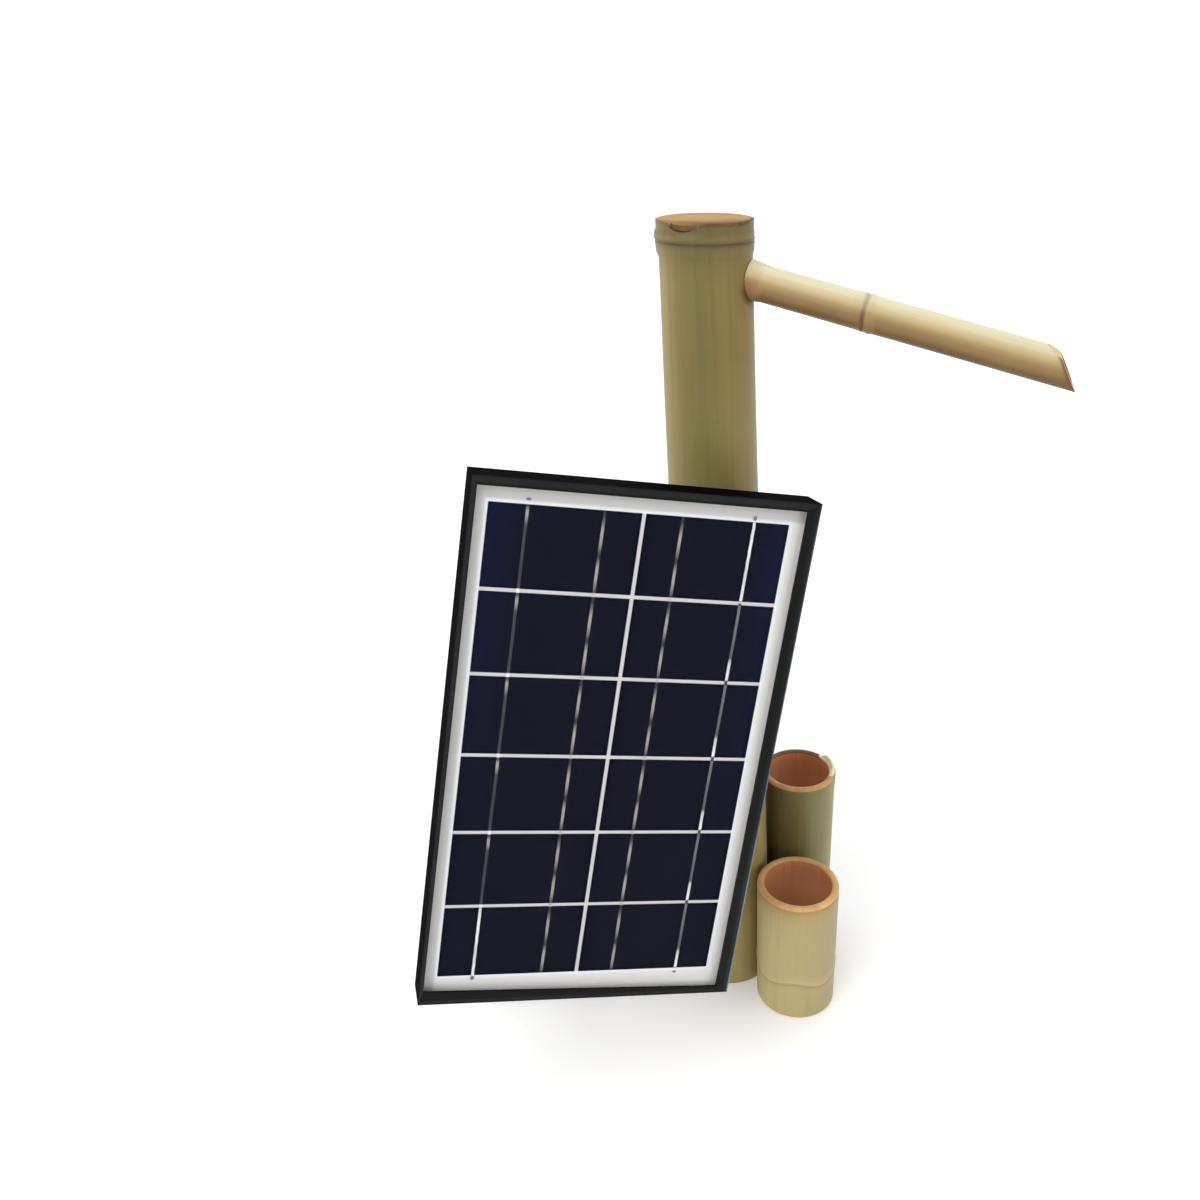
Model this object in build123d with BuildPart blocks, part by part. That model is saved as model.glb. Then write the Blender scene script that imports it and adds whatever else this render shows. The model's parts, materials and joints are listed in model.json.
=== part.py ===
"""Bamboo water spout: a leaning bamboo post with a push-in spout and a pump in its foot,
two bamboo cups beside it, and a small solar panel on its own swivelling stand.

Millimetres, +Z up. The origin is the centre of the post's foot, on the ground.
"""
import os
from math import cos, radians, sin

from build123d import *

os.makedirs("parts", exist_ok=True)

# ---------------------------------------------------------------- clearances
seat_gap = 0.3  # between curved faces of pieces that stand against each other
running_fit = 0.05  # radial play of a shaft, bolt or tenon in its hole
thrust_gap = 0.05  # axial play where two turning faces meet
moving_gap = 0.3  # between faces that pass each other
hose_clearance = 2.4  # round the hose where it passes through a node's wall
over_cut = 1.0  # how far a cut runs past the face it opens
hexagon = 6

# ---------------------------------------------------------------- bamboo post
post_height = 450.0
post_foot_radius = 25.3
post_neck_radius = 21.9  # what its taper comes to at the top
post_rim_radius = 22.8
post_wall = 4.2
lean_x = -9.0  # how far the top stands to the side of the foot
lean_y = 8.0
top_node_drop = 7.0  # rim down to the uppermost node
middle_node_height = 190.0
top_plug_drop = 0.7  # rim down to the cut face of the node's wall
top_plug_depth = 7.5
node_wall = 4.0
node_swell = 1.1  # how far a node ring stands proud
node_reach = 6.0  # half length of a node's swelling
rim_reach = 3.0  # last stretch below a sawn rim, clear of node rings
# how a node ring swells and dips on the way up it, as (share of its reach, share of its swell)
node_profile = ((-1.0, 0.0), (-0.4, 0.45), (-0.12, 1.0), (0.1, 0.25), (0.35, 0.9), (1.0, 0.0))
top_rise = 1.7  # middle of the saw cut above post_height
top_slant = 4.4  # degrees that the saw cut falls to the right
chip_width = 1.3  # skin broken away at the rim
chip_depth = 2.4
chip_reach = 9.0
chip_heading = 243.0
water_notch_radius = 9.0  # arch in the foot, lets water in to the pump
water_notch_heading = 100.0

# ---------------------------------------------------------------- spout
spout_heading = -20.0
spout_slope = -15.0
spout_drop = 22.0  # top of the post down to where the two axes cross
spout_radius = 8.4
spout_mouth_radius = 8.95
spout_wall = 2.3
tenon_radius = 7.6
tenon_tail = 8.6  # from the post's axis to the inner end
shoulder_start = 25.4
shoulder_length = 4.0
spout_node = 77.0
spout_node_swell = 0.7
spout_node_reach = 4.0
spout_node_profile = ((-1.0, 0.0), (-0.2, 1.0), (0.0, 0.4), (0.3, 1.0), (1.0, 0.0))
spout_upper_lip = 162.9
lip_paring_start = 158.2  # the upper lip is pared down from here
lip_paring_angle = 24.0  # from the spout's axis
spout_lower_lip = 177.5
spout_hole_radius = tenon_radius + running_fit

# ---------------------------------------------------------------- cups
rear_cup_radius = 21.4
rear_cup_height = 130.0
rear_cup_wall = 3.5
rear_cup_node = 46.0
rear_cup_heading = 19.5
front_cup_radius = 23.4
front_cup_height = 85.7
front_cup_wall = 4.0
front_cup_node = 30.0
front_cup_heading = -42.8
cup_foot_share = 0.98  # foot radius as a share of the rim radius
cup_floor = 4.0
front_joining_heights = (12.0, 23.0)
rear_joining_heights = (16.0, 34.0)
joining_screw_radius = 1.5
joining_screw_length = 8.0
joining_head_radius = 3.2
joining_head_height = 1.6

# ---------------------------------------------------------------- pump
pump_radius = 17.0
pump_wall = 1.6
pump_foot_height = 3.0
pump_foot_radius = 3.2
pump_foot_ring = 13.0
pump_feet_count = 3
pump_feet_turn = 30.0
volute_floor = 1.6
volute_depth = 8.0
housing_height = 30.0
pump_floor = 1.6
cap_thickness = 3.0
rotor_well_radius = 6.0
rotor_well_wall = 1.0
rotor_well_height = 22.0
stator_radius = 9.5
shaft_radius = 1.0
impeller_radius = 11.0
impeller_disc = 1.4
blade_count = 6
blade_height = 2.4
blade_length = 8.8
blade_middle = 6.4  # from the impeller's axis
blade_thickness = 1.2
rotor_sleeve_radius = 2.0
magnet_radius = 5.6
magnet_height = 18.0
inlet_radius = 5.0
outlet_offset = 13.2  # outlet pipe's axis from the pump's axis
outlet_heading = 180.0
outlet_bore = 1.9
outlet_boss = 3.3
barb_radius = 2.9
barb_length = 9.0
strainer_radius = 9.0
strainer_slots = 5
strainer_slot_width = 1.4
strainer_slot_length = 10.8
strainer_slot_pitch = 3.0
pump_gland_radius = 2.6
pump_gland_height = 5.0
pump_gland_bore = 1.3
pump_gland_offset = 7.9

# ---------------------------------------------------------------- hose
hose_radius = 4.0
hose_start = 1.0  # up from the pump's cap
hose_bore = barb_radius + running_fit
elbow_radius = 4.0
elbow_bore = 2.0
elbow_corner = 1.0  # from the post's axis, along the spout's axis
hose_end_gap = 8.5  # elbow's corner down to the hose's end

# ---------------------------------------------------------------- solar panel
panel_width = 167.0
panel_length = 272.0
panel_centre_x = -66.6
panel_centre_y = -83.5
panel_centre_z = 212.3
panel_heading = 12.8  # turn of its face from straight ahead
panel_lean = 7.0  # leans back from upright
panel_roll = -13.0  # turned in its own plane
frame_depth = 17.0
frame_face = 4.4
frame_wall = 1.4
frame_lip = 1.3
slot_height = 4.0
slot_floor = 1.2
flange_width = 12.0
glass_thickness = 2.4
ribbon_thickness = 0.2
cell_thickness = 0.3
sheet_thickness = 1.0
layer_gap = 0.05
edge_play = 0.3  # glass edge to the bottom of the rail's slot
cell_columns = 2
cell_rows = 6
cell_width = 71.4
cell_length = 39.4
cell_gap_x = 2.0
cell_gap_y = 1.9
cell_block_x = -2.1  # middle of the block of cells from the middle of the panel
cell_block_y = 0.8
ribbon_width = 1.4
ribbons_per_cell = 2

# ---------------------------------------------------------------- back of the panel
bracket_leg = 24.0
bracket_width = 8.0
bracket_thickness = 2.0
bracket_screw_along = 18.0  # corner screw from the frame's outer edge
small_screw_radius = 1.5
small_head_radius = 2.8
small_head_height = 1.5
strap_width = 40.0
strap_thickness = 2.5
strap_corner = 6.0
strap_screw_inset = 7.2  # from the frame's outer edge
strap_screw_pitch = 24.0
box_length = 54.0
box_width = 42.0
box_depth = 12.0
box_wall = 2.0
box_lid = 2.4
box_corner = 3.0
box_boss_radius = 3.0
box_screw_inset = 4.25  # from the box's outer edges
box_centre_y = 78.0
block_length = 26.0
block_width = 10.0
block_height = 6.0
block_pole_count = 3
block_pitch = 8.7
gland_x = 14.0  # beside the spin bolt, so that the lead runs straight past its head
gland_radius = 5.0
gland_thread_radius = 4.0
gland_bore = 2.5
gland_collar_length = 3.0
gland_reach = 9.0
gland_nut_radius = 5.5
gland_nut_length = 9.0
lead_hole_radius = 3.5  # through the bottom rail, in line with the gland

# ---------------------------------------------------------------- stand
head_reach = 80.0  # front of the glass back to the tilt bolt
pole_radius = 8.0
pole_wall = 1.5
sleeve_radius = 12.0
sleeve_length = 26.0
sleeve_top = 3.0
ear_radius = 10.0
ear_thickness = 4.0
eye_width = 14.0
eye_radius = 9.0
head_drop = 15.0  # tilt bolt down to the top of the sleeve
bolt_radius = 3.0
bolt_head_radius = 5.5
bolt_head_height = 4.0
washer_radius = 6.5
washer_thickness = 1.0
tilt_knob_radius = 11.0
tilt_knob_length = 12.0
tilt_knob_bore_depth = 9.6
knob_lobes = 6
knob_lobe_radius = 2.6
knob_lobe_sink = 1.6  # how far the lobes stand out of the knob's core
pan_knob_radius = 7.5
pan_knob_length = 9.0
pan_screw_radius = 2.5
pan_screw_drop = 14.0  # sleeve's top down to the screw
arm_radius = 6.0
arm_flange_radius = 15.0
arm_flange_thickness = 4.0
spin_thread_depth = 14.0
spin_bolt_grip = 13.0  # how far the bolt reaches into the arm
plate_left = -158.0
plate_front = -26.0
plate_depth = 114.0
plate_thickness = 5.0
plate_corner = 14.0
tab_width = 26.0
tab_height = 36.0
tab_thickness = 4.0
tab_gap = 0.7  # the post leans over the tab, so it stands off at the foot
tab_screw_low = 16.0
tab_screw_high = 28.0
tab_screw_length = 9.0
pad_radius = 8.0
pad_thickness = 2.0
pad_inset = 13.0
anchor_radius = 2.75
anchor_spacing = 60.0
socket_flange_radius = 17.0
socket_flange_thickness = 4.0
socket_radius = 11.5
socket_length = 24.0
socket_screw_ring = 14.2
socket_screws_count = 4
socket_screws_turn = 45.0

# ---------------------------------------------------------------- planes and axes
spout_height = post_height - spout_drop
post_plane = Plane(origin=(0, 0, 0), x_dir=(post_height, 0, -lean_x), z_dir=(lean_x, lean_y, post_height))


def post_axis_at(height):
    """Point of the leaning axis at a height above the ground."""
    return Vector(lean_x * height / post_height, lean_y * height / post_height, height)


def heading_vector(heading, slope=0.0):
    """Unit vector at a heading from +X, sloping up by an angle."""
    level = cos(radians(slope))
    return Vector(
        level * cos(radians(heading)), level * sin(radians(heading)), sin(radians(slope))
    )


def side_plane(plane):
    """Plane through a plane's Z axis, for profiles drawn as (radius, height)."""
    return Plane(origin=plane.origin, x_dir=plane.x_dir, z_dir=-plane.y_dir)


def turning_axis(plane):
    return Axis(plane.origin, plane.z_dir)


def turned(plane, angle):
    """The plane turned about its own Z axis."""
    return Plane(
        origin=plane.origin,
        x_dir=plane.x_dir * cos(radians(angle)) + plane.y_dir * sin(radians(angle)),
        z_dir=plane.z_dir,
    )


quarter_turn = 90.0
spout_plane = Plane(
    origin=post_axis_at(spout_height),
    x_dir=heading_vector(spout_heading, spout_slope + quarter_turn),
    z_dir=heading_vector(spout_heading, spout_slope),
)
rear_cup_distance = post_foot_radius + rear_cup_radius + seat_gap
front_cup_distance = post_foot_radius + front_cup_radius + seat_gap
rear_cup_centre = heading_vector(rear_cup_heading) * rear_cup_distance
front_cup_centre = heading_vector(front_cup_heading) * front_cup_distance

panel_right = heading_vector(panel_heading)
panel_front = Vector(
    sin(radians(panel_heading)) * cos(radians(panel_lean)),
    -cos(radians(panel_heading)) * cos(radians(panel_lean)),
    sin(radians(panel_lean)),
)
panel_centre = Vector(panel_centre_x, panel_centre_y, panel_centre_z)
panel_plane = turned(Plane(origin=panel_centre, x_dir=panel_right, z_dir=panel_front), panel_roll)
tab_face = -post_foot_radius - tab_gap
head_point = panel_centre - panel_front * head_reach
tilt_plane = Plane(origin=head_point, x_dir=(-panel_right.Y, panel_right.X, 0), z_dir=panel_right)
arm_plane = Plane(origin=head_point, x_dir=panel_right, z_dir=panel_front)
pole_x, pole_y = head_point.X, head_point.Y


# the pump stands in the post's foot, and its hose rises straight to the elbow behind the spout
volute_bottom = pump_foot_height
volute_inside = volute_bottom + volute_floor
housing_bottom = volute_bottom + volute_depth
housing_top = housing_bottom + housing_height
cap_top = housing_top + cap_thickness
well_top = housing_bottom + rotor_well_height
outlet_at = heading_vector(outlet_heading) * outlet_offset
hose_foot = outlet_at + Vector(0, 0, cap_top)
elbow_point = spout_plane.from_local_coords(Vector(0, 0, elbow_corner))
hose_way = (elbow_point - hose_foot).normalized()
hose_run = (elbow_point - hose_foot).length
hose_plane = Plane(origin=hose_foot, z_dir=hose_way)
elbow_down = Plane(origin=elbow_point, z_dir=-hose_way)
hose_at_node = hose_foot + hose_way * ((middle_node_height - hose_foot.Z) / hose_way.Z)
node_hole_radius = (
    (hose_at_node - post_axis_at(middle_node_height)).length + hose_radius + hose_clearance
)


def culm_outline(foot_radius, neck_radius, rim_radius, height, nodes, foot=0.0):
    """Outer half profile of a bamboo culm with its node rings, as (radius, height)."""

    def plain(level):
        return foot_radius + (neck_radius - foot_radius) * level / height

    points = [(0, foot), (foot_radius, foot)]
    for node in nodes:
        for reach_share, swell_share in node_profile:
            level = node + reach_share * node_reach
            if level < height - rim_reach:
                points.append((plain(level) + swell_share * node_swell, level))
    points += [(rim_radius, height), (0, height)]
    return points


def save(piece, name):
    piece.part.label = name
    export_step(piece.part, f"parts/{name}.step")


# ================================================================ bamboo
def wall_screw_plane(start, target, bore, height):
    """Plane of a screw head's seat inside a culm's curved wall, facing the next culm."""
    way = Vector(target.X - start.X, target.Y - start.Y, 0).normalized()
    seat = (bore**2 - joining_head_radius**2) ** 0.5
    return Plane(origin=Vector(start.X, start.Y, height) + way * seat, z_dir=way)


front_bore = front_cup_radius * cup_foot_share - front_cup_wall
rear_bore = rear_cup_radius * cup_foot_share - rear_cup_wall
joining_planes = [
    wall_screw_plane(centre, Vector(0, 0, 0), bore, height)
    for centre, bore, heights in (
        (front_cup_centre, front_bore, front_joining_heights),
        (rear_cup_centre, rear_bore, rear_joining_heights),
    )
    for height in heights
]

top_node_height = post_height - top_node_drop
plug_top = post_height - top_plug_drop
plug_bottom = plug_top - top_plug_depth
post_bore_foot = post_foot_radius - post_wall
post_bore_top = post_neck_radius - post_wall
post_bore_middle = post_bore_foot + (post_bore_top - post_bore_foot) * middle_node_height / post_height

node_underside = middle_node_height - node_wall / 2
node_upside = middle_node_height + node_wall / 2

top_cut = Plane(
    origin=post_axis_at(post_height + top_rise),
    x_dir=heading_vector(0, -top_slant),
    z_dir=heading_vector(0, quarter_turn - top_slant),
)

with BuildPart() as main_post:
    with BuildSketch(side_plane(post_plane)):
        with BuildLine():
            Polyline(
                culm_outline(
                    post_foot_radius,
                    post_neck_radius,
                    post_rim_radius,
                    post_height + top_rise * 3,
                    (middle_node_height, top_node_height),
                    foot=-over_cut,
                ),
                close=True,
            )
        make_face()
    revolve(axis=turning_axis(post_plane))
    # hollow below the middle node
    with BuildSketch(post_plane.offset(-over_cut * 2)):
        Circle(post_bore_foot)
    extrude(amount=over_cut * 2 + node_underside, mode=Mode.SUBTRACT)
    # hollow between the middle node and the top one
    with BuildSketch(side_plane(post_plane)):
        with BuildLine():
            Polyline(
                (0, node_upside),
                (post_bore_middle, node_upside),
                (post_bore_top, plug_bottom),
                (0, plug_bottom),
                close=True,
            )
        make_face()
    revolve(axis=turning_axis(post_plane), mode=Mode.SUBTRACT)
    with BuildSketch(post_plane.offset(node_underside - over_cut)):
        Circle(node_hole_radius)
    extrude(amount=node_wall + over_cut * 2, mode=Mode.SUBTRACT)
    # sawn a little off square, the plug's face sunk, and the skin chipped at the front left
    split(bisect_by=top_cut, keep=Keep.BOTTOM)
    with BuildSketch(top_cut.offset(-top_plug_drop)):
        Circle(post_bore_top)
    extrude(amount=top_plug_drop + over_cut, mode=Mode.SUBTRACT)
    with BuildSketch(top_cut.offset(-chip_depth)):
        with Locations(heading_vector(chip_heading) * post_rim_radius):
            Circle(chip_reach)
        Circle(post_rim_radius - chip_width, mode=Mode.SUBTRACT)
    extrude(amount=chip_depth + over_cut, mode=Mode.SUBTRACT)
    # hole for the spout's tenon, through the front wall alone
    with BuildSketch(spout_plane.offset(tenon_tail)):
        Circle(spout_hole_radius)
    extrude(amount=post_foot_radius, mode=Mode.SUBTRACT)
    # arch in the foot
    with BuildSketch(Plane(origin=(0, 0, 0), z_dir=heading_vector(water_notch_heading))):
        Circle(water_notch_radius)
    extrude(amount=post_foot_radius + over_cut, mode=Mode.SUBTRACT)
    # pilot holes for the screws that hold the cups and the stand's tab
    for screw_plane in joining_planes:
        with BuildSketch(screw_plane):
            Circle(joining_screw_radius)
        extrude(amount=joining_screw_length, mode=Mode.SUBTRACT)
    for height in (tab_screw_low, tab_screw_high):
        with BuildSketch(Plane(origin=(tab_face, 0, height), z_dir=(1, 0, 0))):
            Circle(joining_screw_radius)
        extrude(amount=tab_screw_length, mode=Mode.SUBTRACT)
    # the foot is sawn level with the ground
    split(bisect_by=Plane.XY, keep=Keep.TOP)

spout_rings = []
for reach_share, swell_share in spout_node_profile:
    ring_radius = spout_radius + swell_share * spout_node_swell
    spout_rings.append((ring_radius, spout_node + reach_share * spout_node_reach))

with BuildPart() as spout:
    with BuildSketch(side_plane(spout_plane)):
        with BuildLine():
            Polyline(
                (0, tenon_tail),
                (tenon_radius, tenon_tail),
                (tenon_radius, shoulder_start),
                (spout_radius, shoulder_start + shoulder_length),
                *spout_rings,
                (spout_mouth_radius, spout_lower_lip + over_cut),
                (0, spout_lower_lip + over_cut),
                close=True,
            )
        make_face()
    revolve(axis=turning_axis(spout_plane))
    spout_bore = spout_radius - spout_wall
    with BuildSketch(spout_plane.offset(tenon_tail)):
        Circle(spout_bore)
    extrude(amount=spout_lower_lip, mode=Mode.SUBTRACT)
    # the mouth is cut on the slant, its lower lip longer
    lip_middle = (spout_upper_lip + spout_lower_lip) / 2
    lip_slant = spout_lower_lip - spout_upper_lip
    split(
        bisect_by=Plane(
            origin=spout_plane.from_local_coords(Vector(0, 0, lip_middle)),
            z_dir=spout_plane.x_dir * lip_slant + spout_plane.z_dir * 2 * spout_mouth_radius,
        ),
        keep=Keep.BOTTOM,
    )
    split(
        bisect_by=Plane(
            origin=spout_plane.from_local_coords(Vector(spout_mouth_radius, 0, lip_paring_start)),
            z_dir=heading_vector(spout_heading, spout_slope + quarter_turn - lip_paring_angle),
        ),
        keep=Keep.BOTTOM,
    )


def cup(centre, radius, height, wall, node):
    """Bamboo cup: a culm cut square at both ends, its node's wall serving as the floor."""
    base = Plane(origin=centre)
    with BuildPart() as culm:
        with BuildSketch(side_plane(base)):
            with BuildLine():
                Polyline(
                    culm_outline(radius * cup_foot_share, radius, radius, height, (node,)),
                    close=True,
                )
            make_face()
        revolve(axis=turning_axis(base))
        with BuildSketch(base.offset(node + cup_floor / 2)):
            Circle(radius - wall)
        extrude(amount=height, mode=Mode.SUBTRACT)
        with BuildSketch(base):
            Circle(radius * cup_foot_share - wall)
        extrude(amount=node - cup_floor / 2, mode=Mode.SUBTRACT)
        for screw_plane in joining_planes:
            with BuildSketch(screw_plane):
                Circle(joining_screw_radius + running_fit)
            extrude(amount=joining_screw_length, mode=Mode.SUBTRACT)
    return culm


rear_cup = cup(rear_cup_centre, rear_cup_radius, rear_cup_height, rear_cup_wall, rear_cup_node)
front_cup = cup(front_cup_centre, front_cup_radius, front_cup_height, front_cup_wall, front_cup_node)


def screw(plane, radius, length, head_radius, head_height):
    """Round-headed screw whose head rests on the plane and whose shank runs along it."""
    with BuildPart() as fastener:
        with BuildSketch(plane):
            Circle(radius)
        extrude(amount=length)
        with BuildSketch(plane):
            Circle(head_radius)
        extrude(amount=-head_height)
    return fastener.part


with BuildPart() as joining_screws:
    for screw_plane in joining_planes:
        add(
            screw(
                screw_plane,
                joining_screw_radius,
                joining_screw_length,
                joining_head_radius,
                joining_head_height,
            )
        )

# ================================================================ pump, upright in the post's foot
with BuildPart() as pump_feet:
    with PolarLocations(pump_foot_ring, pump_feet_count, start_angle=pump_feet_turn):
        Cylinder(pump_foot_radius, pump_foot_height, align=(Align.CENTER, Align.CENTER, Align.MIN))

with BuildPart() as pump_volute:
    with BuildSketch(Plane.XY.offset(volute_bottom)):
        Circle(pump_radius)
    extrude(amount=volute_depth)
    with BuildSketch(Plane.XY.offset(volute_inside)):
        Circle(pump_radius - pump_wall)
    extrude(amount=volute_depth, mode=Mode.SUBTRACT)
    with BuildSketch(Plane.XY.offset(volute_bottom)):
        Circle(inlet_radius)
        Rectangle(inlet_radius * 2, pump_wall, mode=Mode.SUBTRACT)
        Circle(shaft_radius + pump_wall / 2, mode=Mode.SUBTRACT)
    extrude(amount=volute_floor, mode=Mode.SUBTRACT)
    with BuildSketch(Plane.XY.offset(volute_bottom + volute_floor / 2)):
        Circle(shaft_radius)
    extrude(amount=volute_floor, mode=Mode.SUBTRACT)

with BuildPart() as pump_strainer:
    with BuildSketch(Plane.XY.offset(volute_bottom - volute_floor)):
        Circle(strainer_radius)
        with GridLocations(0, strainer_slot_pitch, 1, strainer_slots):
            SlotOverall(strainer_slot_length, strainer_slot_width, mode=Mode.SUBTRACT)
    extrude(amount=volute_floor)

with BuildPart() as pump_housing:
    with BuildSketch(Plane.XY.offset(housing_bottom)):
        Circle(pump_radius)
    extrude(amount=housing_height)
    with BuildSketch(Plane.XY.offset(housing_bottom + pump_floor)):
        Circle(pump_radius - pump_wall)
        Circle(rotor_well_radius + rotor_well_wall, mode=Mode.SUBTRACT)
        with Locations(outlet_at):
            Circle(outlet_boss, mode=Mode.SUBTRACT)
    extrude(amount=housing_height, mode=Mode.SUBTRACT)
    with BuildSketch(Plane.XY.offset(well_top)):
        Circle(rotor_well_radius + rotor_well_wall)
    extrude(amount=housing_top - well_top, mode=Mode.SUBTRACT)
    with BuildSketch(Plane.XY.offset(housing_bottom)):
        Circle(rotor_well_radius)
    extrude(amount=rotor_well_height - rotor_well_wall, mode=Mode.SUBTRACT)
    with BuildSketch(Plane.XY.offset(housing_bottom)):
        with Locations(outlet_at):
            Circle(outlet_bore)
    extrude(amount=housing_height, mode=Mode.SUBTRACT)

with BuildPart() as pump_stator:
    with BuildSketch(Plane.XY.offset(housing_bottom + pump_floor)):
        Circle(stator_radius)
        Circle(rotor_well_radius + rotor_well_wall + running_fit, mode=Mode.SUBTRACT)
    extrude(amount=rotor_well_height - pump_floor * 2)

with BuildPart() as pump_shaft:
    with BuildSketch(Plane.XY.offset(volute_bottom + volute_floor / 2)):
        Circle(shaft_radius)
    extrude(until=Until.NEXT, target=pump_housing.part)

with BuildPart() as pump_cap:
    with BuildSketch(Plane.XY.offset(housing_top)):
        Circle(pump_radius)
    extrude(amount=cap_thickness)
    with BuildSketch(hose_plane.offset(-cap_thickness / 2)):
        Circle(barb_radius)
    extrude(amount=cap_thickness / 2 + barb_length)
    with BuildSketch(hose_plane.offset(-cap_thickness - over_cut)):
        Circle(outlet_bore)
    extrude(amount=cap_thickness + barb_length + over_cut * 2, mode=Mode.SUBTRACT)

with BuildPart() as pump_gland:
    with BuildSketch(Plane.XY.offset(cap_top)):
        with Locations(heading_vector(outlet_heading) * -pump_gland_offset):
            Circle(pump_gland_radius)
            Circle(pump_gland_bore, mode=Mode.SUBTRACT)
    extrude(amount=pump_gland_height)

impeller_bottom = volute_inside + moving_gap
with BuildPart() as impeller:
    with BuildSketch(Plane.XY.offset(impeller_bottom + blade_height)):
        Circle(impeller_radius)
    extrude(amount=impeller_disc)
    with BuildSketch(Plane.XY.offset(impeller_bottom)):
        with PolarLocations(blade_middle, blade_count):
            Rectangle(blade_length, blade_thickness)
    extrude(amount=blade_height)
    with BuildSketch(Plane.XY.offset(impeller_bottom + blade_height)):
        Circle(rotor_sleeve_radius)
    extrude(amount=well_top - rotor_well_wall - moving_gap * 2 - impeller_bottom - blade_height)
    with BuildSketch(Plane.XY.offset(impeller_bottom)):
        Circle(shaft_radius + running_fit)
    extrude(amount=housing_height, mode=Mode.SUBTRACT)

magnet_bottom = impeller_bottom + blade_height + impeller_disc
with BuildPart() as impeller_magnet:
    with BuildSketch(Plane.XY.offset(magnet_bottom)):
        Circle(magnet_radius)
        Circle(rotor_sleeve_radius, mode=Mode.SUBTRACT)
    extrude(amount=magnet_height)

# ================================================================ hose and elbow

with BuildPart() as riser_hose:
    with BuildSketch(hose_plane.offset(hose_start)):
        Circle(hose_radius)
        Circle(hose_bore, mode=Mode.SUBTRACT)
    extrude(amount=hose_run - hose_end_gap - hose_start)

with BuildPart() as hose_elbow:
    with Locations(elbow_point):
        Sphere(elbow_radius)
    with BuildSketch(elbow_down):
        Circle(elbow_radius)
    extrude(amount=hose_end_gap)
    with BuildSketch(elbow_down.offset(hose_end_gap)):
        Circle(barb_radius)
    extrude(amount=barb_length)
    with BuildSketch(spout_plane.offset(elbow_corner)):
        Circle(elbow_radius)
    extrude(amount=tenon_tail + barb_length)
    with BuildSketch(spout_plane.offset(tenon_tail + moving_gap * 2)):
        Circle(spout_bore - running_fit)
    extrude(amount=barb_length)
    with Locations(elbow_point):
        Sphere(elbow_bore, mode=Mode.SUBTRACT)
    with BuildSketch(elbow_down):
        Circle(elbow_bore)
    extrude(amount=hose_end_gap + barb_length, mode=Mode.SUBTRACT)
    with BuildSketch(spout_plane.offset(elbow_corner)):
        Circle(elbow_bore)
    extrude(amount=tenon_tail + barb_length * 2, mode=Mode.SUBTRACT)

# ================================================================ solar panel
half_width = panel_width / 2
half_length = panel_length / 2
slot_bottom = frame_lip + slot_height
glass_back = frame_lip + glass_thickness
ribbon_front = glass_back + layer_gap
cell_front = ribbon_front + ribbon_thickness
sheet_front = cell_front + cell_thickness
sheet_back = sheet_front + sheet_thickness


def frame_rail(length, across, turn):
    """One mitred rail of the frame, on the side of the panel that the turn points to."""
    side = turned(panel_plane, turn)
    rail_end = Plane(
        origin=side.from_local_coords(Vector(-length / 2, -across / 2, 0)),
        x_dir=side.y_dir,
        z_dir=side.x_dir,
    )
    with BuildPart() as rail:
        with BuildSketch(rail_end):
            with BuildLine():
                # (inward from the edge, forward of the glass face)
                Polyline(
                    (0, 0),
                    (frame_face, 0),
                    (frame_face, -frame_lip),
                    (frame_wall, -frame_lip),
                    (frame_wall, -slot_bottom),
                    (frame_face, -slot_bottom),
                    (frame_face, -slot_bottom - slot_floor),
                    (frame_wall, -slot_bottom - slot_floor),
                    (frame_wall, -frame_depth + frame_wall),
                    (flange_width, -frame_depth + frame_wall),
                    (flange_width, -frame_depth),
                    (0, -frame_depth),
                    close=True,
                )
            make_face()
        extrude(amount=length)
        with BuildSketch(side):
            with BuildLine():
                Polyline(
                    (-length / 2, -across / 2),
                    (length / 2, -across / 2),
                    (length / 2 - flange_width, -across / 2 + flange_width),
                    (-length / 2 + flange_width, -across / 2 + flange_width),
                    close=True,
                )
            make_face()
        extrude(amount=-frame_depth, mode=Mode.INTERSECT)
    return rail


frame_rail_bottom = frame_rail(panel_width, panel_length, 0)
frame_rail_right = frame_rail(panel_length, panel_width, 90)
frame_rail_top = frame_rail(panel_width, panel_length, 180)
frame_rail_left = frame_rail(panel_length, panel_width, 270)

sheet_width = panel_width - 2 * (frame_wall + edge_play)
sheet_length = panel_length - 2 * (frame_wall + edge_play)

with BuildPart() as glass_cover:
    with BuildSketch(panel_plane.offset(-frame_lip)):
        Rectangle(sheet_width, sheet_length)
    extrude(amount=-glass_thickness)

with BuildPart() as backsheet:
    with BuildSketch(panel_plane.offset(-sheet_front)):
        Rectangle(sheet_width, sheet_length)
    extrude(amount=-sheet_thickness)

column_pitch = cell_width + cell_gap_x
row_pitch = cell_length + cell_gap_y
block_middle = panel_plane.from_local_coords(Vector(cell_block_x, cell_block_y, 0))
block_plane = Plane(origin=block_middle, x_dir=panel_plane.x_dir, z_dir=panel_plane.z_dir)

with BuildPart() as solar_cells:
    with BuildSketch(block_plane.offset(-cell_front)):
        with GridLocations(column_pitch, row_pitch, cell_columns, cell_rows):
            Rectangle(cell_width, cell_length)
    extrude(amount=-cell_thickness)

ribbon_length = cell_rows * row_pitch
with BuildPart() as cell_ribbons:
    with BuildSketch(block_plane.offset(-ribbon_front)):
        with GridLocations(column_pitch, 0, cell_columns, 1):
            with GridLocations(cell_width / ribbons_per_cell, 0, ribbons_per_cell, 1):
                Rectangle(ribbon_width, ribbon_length)
    extrude(amount=-ribbon_thickness)

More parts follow.
